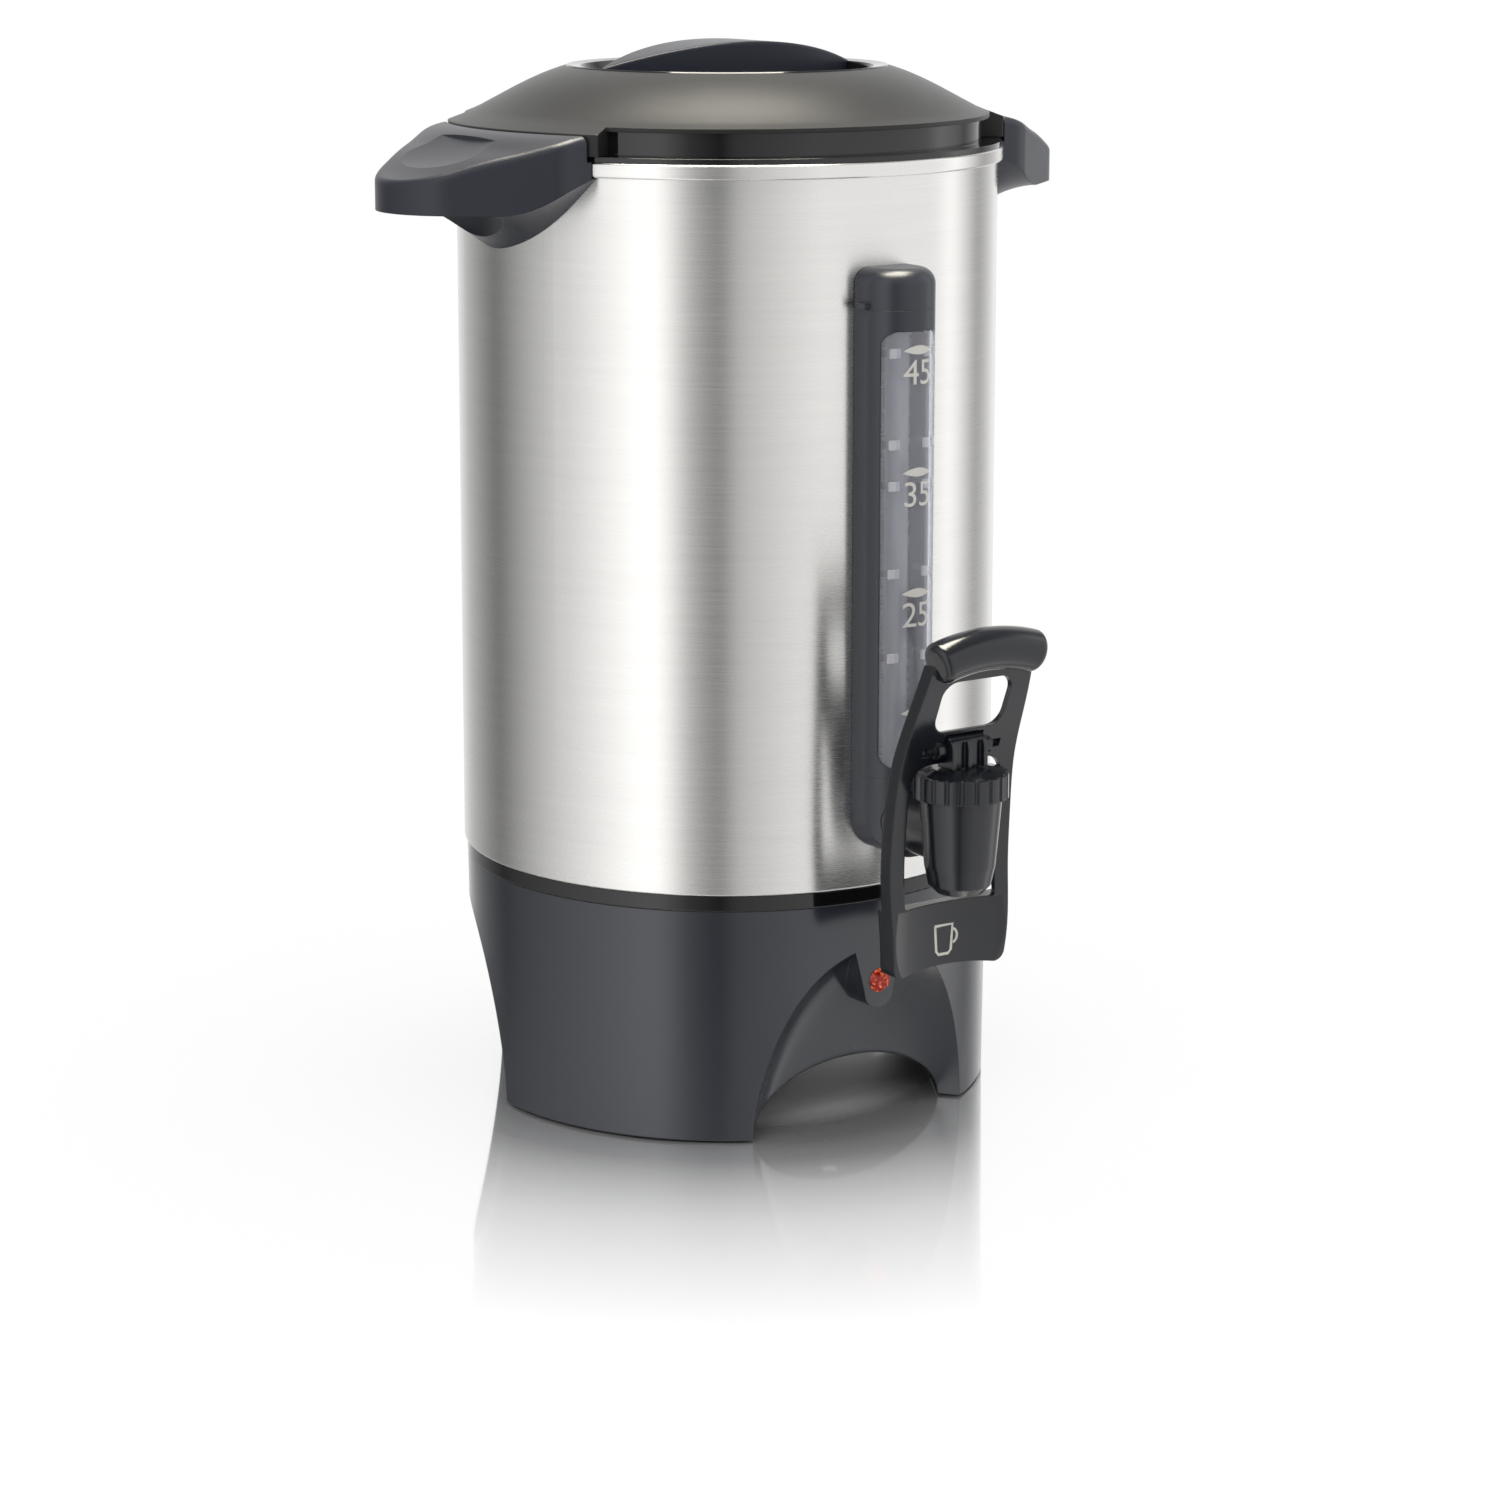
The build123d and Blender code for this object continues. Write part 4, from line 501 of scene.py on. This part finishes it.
def spangled(name, shade):
    """Galvanised sheet with its crystal spangle."""
    material, shader = new_material(name)
    level = shader.cells(shader.place(), scale=130.0, channel="Green")
    sockets = {
        "Base Color": shader.tones(level, shade, dark=0.75, light=1.15),
        "Metallic": 1.0,
        "Roughness": level * 0.15 + 0.35,
        "Normal": shader.relief(level, 0.01 * MM, strength=0.3),
    }
    shader.surface(sockets)
    return material


def clear(name, shade, roughness, ior, clarity=1.0):
    """Clear moulding or glass with a trace of haze."""
    material, shader = new_material(name)
    haze = shader.noise(shader.place(), scale=250.0, detail=3.0)
    sockets = {
        "Base Color": shader.tones(haze, shade, dark=0.97, light=1.0),
        "Transmission Weight": clarity,
        "Roughness": haze * 0.03 + roughness,
        "IOR": ior,
    }
    shader.surface(sockets)
    return material


def faceted_lens(name, shade):
    """Red lens with a moulded pattern of facets, lit faintly by its lamp, with painted facet shade
    and painted glints.
    """
    material, shader = new_material(name)
    level = shader.cells(shader.place(), scale=1.0 / LENS_FACET, channel="Red")
    # painted glints: a high power keeps the bright orange glow to the few random facets with the
    # highest level
    glint_glow = level ** 5
    sockets = {
        # random facets painted lighter and darker stand in for facets that catch or miss the light:
        # painted highlight and shade
        "Base Color": shader.tones(level, shade, dark=0.12, light=0.6),
        "Transmission Weight": 0.2,
        "Roughness": level * 0.1 + 0.05,
        # the dark red end is the faint glow of the lamp behind, the orange end is the painted
        # glints
        "Emission Color": shader.blend(glint_glow, (0.16, 0.004, 0.002), (1.0, 0.3, 0.12)),
        "Emission Strength": 0.5,
        "Normal": shader.relief(level, 0.25 * MM, strength=0.7),
        "IOR": 1.35,
    }
    shader.surface(sockets)
    return material


def soft(name, shade, roughness):
    """Rubber or silicone with a powdery surface."""
    material, shader = new_material(name)
    powder = shader.noise(shader.place(), scale=500.0, detail=4.0)
    sockets = {
        "Base Color": shader.tones(powder, shade, dark=0.85, light=1.15),
        "Roughness": swing(powder, 0.2) + roughness,
        "Normal": shader.relief(powder, 0.05 * MM, strength=0.5),
    }
    shader.surface(sockets)
    return material


def ink(name, shade):
    """Printed ink, slightly uneven."""
    material, shader = new_material(name)
    cloud = shader.noise(shader.place(), scale=1500.0, detail=3.0)
    sockets = {
        "Base Color": shader.tones(cloud, shade, dark=0.9, light=1.0),
        "Roughness": cloud * 0.1 + 0.4,
    }
    shader.surface(sockets)
    return material


def give(material, *nodes):
    """Puts one material on CAD nodes."""
    for name in nodes:
        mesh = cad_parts[name].data
        mesh.materials.clear()
        mesh.materials.append(material)


# ---- meshes and printed pieces ----


def finished_mesh(name, bm):
    """Ends mesh code with its mesh."""
    mesh = bpy.data.meshes.new(name)
    bm.to_mesh(mesh)
    bm.free()
    return mesh


def new_object(name, data):
    """An object in the scene."""
    made = bpy.data.objects.new(name, data)
    bpy.context.scene.collection.objects.link(made)
    return made


def print_on(name, bm, node, lift, body, material):
    """Lays flat mesh code drawn in X and Z on the front of a CAD node and rides on its body."""
    mesh = finished_mesh(name, bm)
    tree = BVHTree.FromObject(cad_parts[node], bpy.context.evaluated_depsgraph_get())
    start = CAD_LOW.y - RAY_START
    for vertex in mesh.vertices:
        hit, *_ = tree.ray_cast(Vector((vertex.co.x, start, vertex.co.z)), Vector((0, 1, 0)))
        if hit is None:
            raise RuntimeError(f"{name} reaches past the front of {node}")
        vertex.co.y = hit.y - lift
    mesh.materials.append(material)
    piece = new_object(name, mesh)
    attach(piece, body)


def cut_fine(bm, longest):
    """Splits long edges so that a flat drawing can follow a curved surface."""
    bmesh.ops.triangulate(bm, faces=bm.faces)
    for _ in range(MOST_CUTS):
        edges = [edge for edge in bm.edges if edge.calc_length() > longest]
        if not edges:
            return
        bmesh.ops.subdivide_edges(bm, edges=edges, cuts=1)
        bmesh.ops.triangulate(bm, faces=bm.faces)


def number_mesh(text, height, centre_z):
    """Outline of a number, drawn in X and Z round a height."""
    curve = bpy.data.curves.new("digits", "FONT")
    curve.body = text
    curve.align_x = "CENTER"
    curve.size = height / DIGIT_SHARE
    curve.space_character = DIGIT_SPACING
    holder = new_object("digits", curve)
    bpy.context.view_layer.update()
    graph = bpy.context.evaluated_depsgraph_get()
    mesh = bpy.data.meshes.new_from_object(holder.evaluated_get(graph))
    bpy.data.objects.remove(holder)
    bpy.data.curves.remove(curve)
    low = min(vertex.co.y for vertex in mesh.vertices)
    high = max(vertex.co.y for vertex in mesh.vertices)
    for vertex in mesh.vertices:
        share = (vertex.co.y - low) / (high - low) - 0.5
        vertex.co = (vertex.co.x, 0.0, centre_z + share * height)
    return mesh


def leaf(bm, width, height, centre_z):
    """Leaf-shaped mark: shallow below, full above, pointed at its ends."""
    above, below = height * LEAF_ABOVE, height * (1.0 - LEAF_ABOVE)
    ring = []
    for index in range(LEAF_STEPS):
        x = -width / 2 + width * index / LEAF_STEPS
        rise = max(0.0, math.cos(math.pi * x / width)) ** LEAF_FULLNESS
        ring.append(bm.verts.new((x, 0, centre_z + above * rise)))
    for index in range(LEAF_STEPS):
        x = width / 2 - width * index / LEAF_STEPS
        ring.append(bm.verts.new((x, 0, centre_z - below * math.cos(math.pi * x / width))))
    bm.faces.new(ring)


def stroke(bm, points, thickness):
    """Flat line of even thickness along points in X and Z."""
    rows = []
    for index, (x, z) in enumerate(points):
        before = Vector(points[max(index - 1, 0)])
        after = Vector(points[min(index + 1, len(points) - 1)])
        along = (after - before).normalized()
        side = Vector((-along.y, along.x)) * thickness / 2
        rows.append(
            (bm.verts.new((x + side.x, 0, z + side.y)), bm.verts.new((x - side.x, 0, z - side.y)))
        )
    for one, two in zip(rows, rows[1:]):
        bm.faces.new((one[0], two[0], two[1], one[1]))


# ---- operators ----


class UrnOperator(bpy.types.Operator):
    """Shared access to the urn's sizes and colours."""

    bl_options = {"REGISTER", "UNDO"}

    @property
    def sizes(self):
        return bpy.context.scene.urn_sizes

    @property
    def colours(self):
        return bpy.context.scene.urn_colours


class URN_OT_base(UrnOperator):
    """Finishes the base shell, its trim ring, cover and feet, and the small steel parts"""

    bl_idname = "urn.base"
    bl_label = "Base"

    def execute(self, context):
        edge = self.sizes.edge_round
        shell = moulded("base_plastic", self.colours.base, roughness=0.17, edge=edge, ior=1.62)
        give(shell, "base_shell")
        give(polished("trim_gloss", self.colours.gloss, edge), "base_ring")
        # the bottom cover is near-black, matte and barely glossy, standing in for the shade under
        # the arches: painted shade
        painted_shade = moulded("cover_painted_shade", (0.01, 0.01, 0.011), roughness=0.85, ior=1.15)
        give(painted_shade, "bottom_cover")
        give(spangled("shield_sheet", (0.42, 0.43, 0.44)), "heat_shield")
        give(soft("foot_rubber", (0.03, 0.03, 0.03), roughness=0.75), "rubber_feet")
        give(metal("screw_steel", (0.62, 0.62, 0.63), roughness=0.25), *SMALL_STEEL)
        return {"FINISHED"}


class URN_OT_lamp(UrnOperator):
    """Finishes the lamp lens and the lamp behind it"""

    bl_idname = "urn.lamp"
    bl_label = "Lamp"

    def execute(self, context):
        give(faceted_lens("lens_red", self.colours.lens), "indicator_lens")
        glass = clear("lamp_glass", (0.95, 0.7, 0.5), roughness=0.05, ior=1.5)
        give(glass, "indicator_lamp")
        return {"FINISHED"}


class URN_OT_inlet(UrnOperator):
    """Finishes the power inlet and its pins"""

    bl_idname = "urn.inlet"
    bl_label = "Power inlet"

    def execute(self, context):
        give(moulded("inlet_plastic", (0.03, 0.03, 0.031), roughness=0.45), "power_inlet")
        give(metal("pin_brass", (0.72, 0.58, 0.3), roughness=0.28), "inlet_pins")
        return {"FINISHED"}


class URN_OT_steel(UrnOperator):
    """Finishes the steel body"""

    bl_idname = "urn.steel"
    bl_label = "Steel body"

    def execute(self, context):
        brushed = brushed_round("brushed_steel", self.colours.steel, self.sizes.brush_pitch)
        give(brushed, "steel_body")
        return {"FINISHED"}


class URN_OT_heating(UrnOperator):
    """Finishes the heating parts under the steel body"""

    bl_idname = "urn.heating"
    bl_label = "Heating parts"

    def execute(self, context):
        well = metal("well_steel", (0.6, 0.59, 0.57), roughness=0.3, tint=(0.55, 0.45, 0.3))
        give(well, "heating_well")
        heater = metal("heater_metal", (0.42, 0.42, 0.43), roughness=0.45)
        give(heater, "brew_heater", "keep_warm_heater", "thermal_fuse")
        give(moulded("thermostat_body", (0.45, 0.36, 0.24), roughness=0.5), "thermostat")
        return {"FINISHED"}


class URN_OT_handles(UrnOperator):
    """Finishes the side handles"""

    bl_idname = "urn.handles"
    bl_label = "Side handles"

    def execute(self, context):
        shade, edge = self.colours.handle, self.sizes.edge_round
        plastic = moulded("handle_plastic", shade, roughness=0.36, edge=edge, ior=1.42)
        give(plastic, "right_handle", "left_handle")
        return {"FINISHED"}


class URN_OT_gauge(UrnOperator):
    """Finishes the gauge's housing, cap, window and sight tube, and the pale seals"""

    bl_idname = "urn.gauge"
    bl_label = "Level gauge"

    def execute(self, context):
        edge = self.sizes.edge_round
        plastic = moulded("gauge_plastic", self.colours.handle, roughness=0.33, edge=edge)
        give(plastic, "gauge_housing", "gauge_base", "gauge_cap")
        window = clear("window_clear", (0.8, 0.81, 0.88), roughness=0.0, ior=1.35, clarity=0.86)
        give(window, "gauge_window")
        tube = clear("tube_clear", (0.84, 0.84, 0.8), roughness=0.0, ior=1.45, clarity=0.6)
        give(tube, "sight_tube")
        silicone = soft("seal_silicone", (0.7, 0.7, 0.68), roughness=0.5)
        give(silicone, "tube_seals", "shank_gasket", "seat_cup")
        return {"FINISHED"}


class URN_OT_scale(UrnOperator):
    """Prints the level scale on the gauge's window"""

    bl_idname = "urn.scale"
    bl_label = "Level scale"

    def execute(self, context):
        sizes = self.sizes
        bm = bmesh.new()
        for index, cups in enumerate(SCALE_NUMBERS):
            height = sizes.first_mark + index * sizes.mark_step
            leaf(bm, sizes.mark_width, sizes.mark_height, height)
            digits = number_mesh(str(cups), sizes.digit_height, height - sizes.digit_drop)
            bm.from_mesh(digits)
            bpy.data.meshes.remove(digits)
        cut_fine(bm, SCALE_EDGE)
        white = ink("scale_ink", self.colours.printing)
        lift = sizes.print_lift
        print_on("level_scale", bm, "gauge_window", lift, "urn", white)
        return {"FINISHED"}


class URN_OT_clips(UrnOperator):
    """Adds the pale tabs that hold the sight tube inside the window"""

    bl_idname = "urn.clips"
    bl_label = "Tube clips"

    def execute(self, context):
        sizes = self.sizes
        window_low, window_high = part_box("gauge_window")
        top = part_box("gauge_housing")[1].z
        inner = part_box("sight_tube")[1].x + CLIP_TUBE_GAP
        outer = window_high.x - CLIP_SIDE_GAP
        front = window_low.y + CLIP_DEPTH
        size = Vector((outer - inner, sizes.clip_thickness, sizes.clip_height))
        bm = bmesh.new()
        for below in sizes.clip_places:
            for side in (-1, 1):
                middle = Vector((side * (inner + outer) / 2, front, top - below))
                for vertex in bmesh.ops.create_cube(bm, size=1.0)["verts"]:
                    vertex.co = middle + vertex.co * size
        edges = list(bm.edges)
        bmesh.ops.bevel(
            bm, geom=edges, offset=CLIP_ROUND, segments=2, profile=0.5, affect="EDGES"
        )
        clips = new_object("tube_clips", finished_mesh("tube_clips", bm))
        pale = clear("clip_clear", (0.9, 0.9, 0.88), roughness=0.15, ior=1.45, clarity=0.2)
        clips.data.materials.append(pale)
        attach(clips, "urn")
        return {"FINISHED"}


class URN_OT_tap(UrnOperator):
    """Finishes the tap's body, bonnet, stem head, lever and shank nut"""

    bl_idname = "urn.tap"
    bl_label = "Tap"

    def execute(self, context):
        shade, edge = self.colours.tap, TAP_ROUNDER * self.sizes.edge_round
        plastic = moulded("tap_plastic", shade, roughness=0.15, depth=0.01 * MM, edge=edge)
        give(plastic, "tap_body", "bonnet", "stem_head", "tap_lever", "shank_nut")
        return {"FINISHED"}


class URN_OT_symbol(UrnOperator):
    """Prints a plain cup symbol on the lever's pad"""

    bl_idname = "urn.symbol"
    bl_label = "Cup symbol"

    def execute(self, context):
        size = self.sizes.symbol_height
        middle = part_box("tap_lever")[0].z + CUP_RISE
        handle = []
        for turn in map(math.radians, CUP_HANDLE_DEGREES):
            x = CUP_HANDLE_X + CUP_HANDLE_OUT * math.cos(turn)
            handle.append((x, CUP_HANDLE_Z + CUP_HANDLE_UP * math.sin(turn)))
        line = size * CUP_LINE
        bm = bmesh.new()
        for points, thickness in ((CUP_WALL, line), (handle, line * CUP_HANDLE_LINE)):
            stroke(bm, [(x * size, middle + z * size) for x, z in points], thickness)
        cut_fine(bm, CUP_EDGE)
        white = ink("symbol_ink", self.colours.printing)
        lift = self.sizes.print_lift
        print_on("cup_symbol", bm, "tap_lever", lift, "lever", white)
        return {"FINISHED"}


class URN_OT_lid(UrnOperator):
    """Finishes the lid's dome, band, dish, grip and liner"""

    bl_idname = "urn.lid"
    bl_label = "Lid"

    def execute(self, context):
        colours, edge = self.colours, self.sizes.edge_round
        dome = moulded(
            "lid_plastic", colours.lid, roughness=0.36, depth=0.04 * MM, edge=edge, ior=1.34
        )
        give(dome, "lid_dome")
        give(polished("lid_gloss", colours.gloss, edge), "lid_band", "lid_dish")
        grip = moulded("grip_plastic", colours.handle, roughness=0.3, edge=edge, ior=1.25)
        give(grip, "lid_grip")
        give(metal("liner_steel", (0.62, 0.61, 0.6), roughness=0.32), "lid_liner")
        return {"FINISHED"}


class URN_OT_basket(UrnOperator):
    """Finishes the coffee basket and its pump tube"""

    bl_idname = "urn.basket"
    bl_label = "Coffee basket"

    def execute(self, context):
        aluminium = metal("basket_metal", (0.66, 0.66, 0.67), roughness=0.38)
        give(aluminium, "coffee_basket", "basket_cover", "pump_tube", "pump_foot")
        give(metal("valve_metal", (0.58, 0.58, 0.58), roughness=0.3), "valve_washer")
        return {"FINISHED"}


class URN_OT_studio(UrnOperator):
    """Sets the floor, the light and the camera"""

    bl_idname = "urn.studio"
    bl_label = "Studio"

    def execute(self, context):
        self.make_floor()
        self.make_world()
        self.make_lamps()
        self.make_camera()
        context.scene.view_settings.view_transform = "Standard"
        return {"FINISHED"}

    def make_floor(self):
        """White floor with a soft mirror image of the urn, fading out into the backdrop."""
        bm = bmesh.new()
        bmesh.ops.create_circle(bm, cap_ends=True, segments=FLOOR_SEGMENTS, radius=FLOOR_RADIUS)
        floor = new_object("studio_floor", finished_mesh("studio_floor", bm))
        material, shader = new_material("floor_gloss")
        where = shader.place()
        cloud = shader.noise(where, scale=3.0, detail=1.0)
        away = shader.add("VectorMath", {0: where}, {"operation": "LENGTH"}, out="Value")
        matte = shader.add(
            "BsdfPrincipled",
            {
                "Base Color": shader.tones(cloud, self.colours.floor, dark=0.998, light=1.0),
                "Roughness": cloud * 0.02 + 0.3,
            },
        )
        mirror = shader.add(
            "BsdfPrincipled",
            {
                "Base Color": shader.tones(cloud, WHITE, dark=0.98, light=1.0),
                "Metallic": 1.0,
                "Roughness": cloud * 0.02 + 0.04,
            },
        )
        # a low view sees the mirror, a high one the matte floor, and it is matte under the urn
        facing = shader.add("LayerWeight", {"Blend": 0.5}, out="Facing")
        mirrored = facing * shader.steps(away, *FLOOR_MIRROR) * MIRROR_GAIN
        solid = shader.add("MixShader", {0: mirrored, 1: matte, 2: mirror})
        fade = shader.steps(away, *FLOOR_FADE)
        faded = shader.add("MixShader", {0: fade, 1: shader.add("BsdfTransparent"), 2: solid})
        shader.add("OutputMaterial", {"Surface": faded})
        floor.data.materials.append(material)

    def make_world(self):
        """Panels and ceiling for glossy surfaces, even light for matte ones, white behind."""
        world = bpy.data.worlds.new("studio")
        world.use_nodes = True
        bpy.context.scene.world = world
        shader = Shader(world.node_tree)
        x, y, z = shader.parts(shader.add("TexCoord", out="Generated"))
        stops = [(degrees / 360 + 0.5, brightness) for degrees, brightness in PANELS]
        panels = shader.steps(shader.turn(x, y) / (2 * math.pi) + 0.5, *stops)
        height = shader.steps(z * 0.5 + 0.5, *CEILING)
        studio = shader.add(
            "Background",
            {"Color": shader.blend(height, CEILING_SHADE, panels), "Strength": PANEL_STRENGTH},
        )
        white = (*WHITE, 1.0)
        room = shader.add("Background", {"Color": white, "Strength": ROOM_STRENGTH})
        backdrop = shader.add("Background", {"Color": white, "Strength": BACKDROP_STRENGTH})
        # the backdrop is what the camera and clear pieces see
        rays = ("Is Camera Ray", "Is Glossy Ray", "Is Transmission Ray")
        camera, glossy, passing = (shader.add("LightPath", out=ray) for ray in rays)
        lit = shader.add("MixShader", {0: glossy, 1: room, 2: studio})
        seen = shader.add("Math", {0: camera, 1: passing}, {"operation": "MAXIMUM"})
        shown = shader.add("MixShader", {0: seen, 1: lit, 2: backdrop})
        shader.add("OutputWorld", {"Surface": shown})

    def make_lamps(self):
        """Soft square lamps, all turned to the urn's middle."""
        for name, spot, size, power, tint, mirrored in LAMPS:
            light = bpy.data.lights.new(name, "AREA")
            light.color = tint
            light.size = size
            light.energy = power
            lamp = new_object(name, light)
            lamp.location = spot
            lamp.rotation_mode = "QUATERNION"
            way = Vector(LAMP_AIM) - Vector(spot)
            lamp.rotation_quaternion = way.to_track_quat("-Z", "Y")
            lamp.visible_glossy = mirrored
            lamp.visible_diffuse = not mirrored

    def make_camera(self):
        """Long lens from the left of the front, a little above the urn."""
        data = bpy.data.cameras.new("camera")
        data.lens = CAMERA_LENS
        data.sensor_width = CAMERA_SENSOR
        data.shift_x, data.shift_y = CAMERA_SHIFT
        camera = new_object("camera", data)
        camera.location = CAMERA_PLACE
        camera.rotation_euler = (math.pi / 2 - CAMERA_TILT, 0.0, CAMERA_TURN)
        bpy.context.scene.camera = camera


PIECES = (
    URN_OT_base,
    URN_OT_lamp,
    URN_OT_inlet,
    URN_OT_steel,
    URN_OT_heating,
    URN_OT_handles,
    URN_OT_gauge,
    URN_OT_scale,
    URN_OT_clips,
    URN_OT_tap,
    URN_OT_symbol,
    URN_OT_lid,
    URN_OT_basket,
    URN_OT_studio,
)


class URN_PT_panel(bpy.types.Panel):
    """Lists the urn's operators"""

    bl_label = "Coffee Urn"
    bl_idname = "URN_PT_panel"
    bl_space_type = "VIEW_3D"
    bl_region_type = "UI"
    bl_category = "Coffee Urn"

    def draw(self, context):
        for piece in PIECES:
            self.layout.operator(piece.bl_idname)


CLASSES = (UrnSizes, UrnColours, *PIECES, URN_PT_panel)


def register():
    """Registers the classes and hangs the sizes and colours on the scene."""
    for item in CLASSES:
        bpy.utils.register_class(item)
    bpy.types.Scene.urn_sizes = PointerProperty(type=UrnSizes)
    bpy.types.Scene.urn_colours = PointerProperty(type=UrnColours)


def unregister():
    """Takes back what register did."""
    del bpy.types.Scene.urn_colours
    del bpy.types.Scene.urn_sizes
    for item in reversed(CLASSES):
        bpy.utils.unregister_class(item)


def main():
    """Makes every piece in order."""
    register()
    for piece in PIECES:
        group, action = piece.bl_idname.split(".")
        getattr(getattr(bpy.ops, group), action)()


if __name__ == "__main__":
    main()
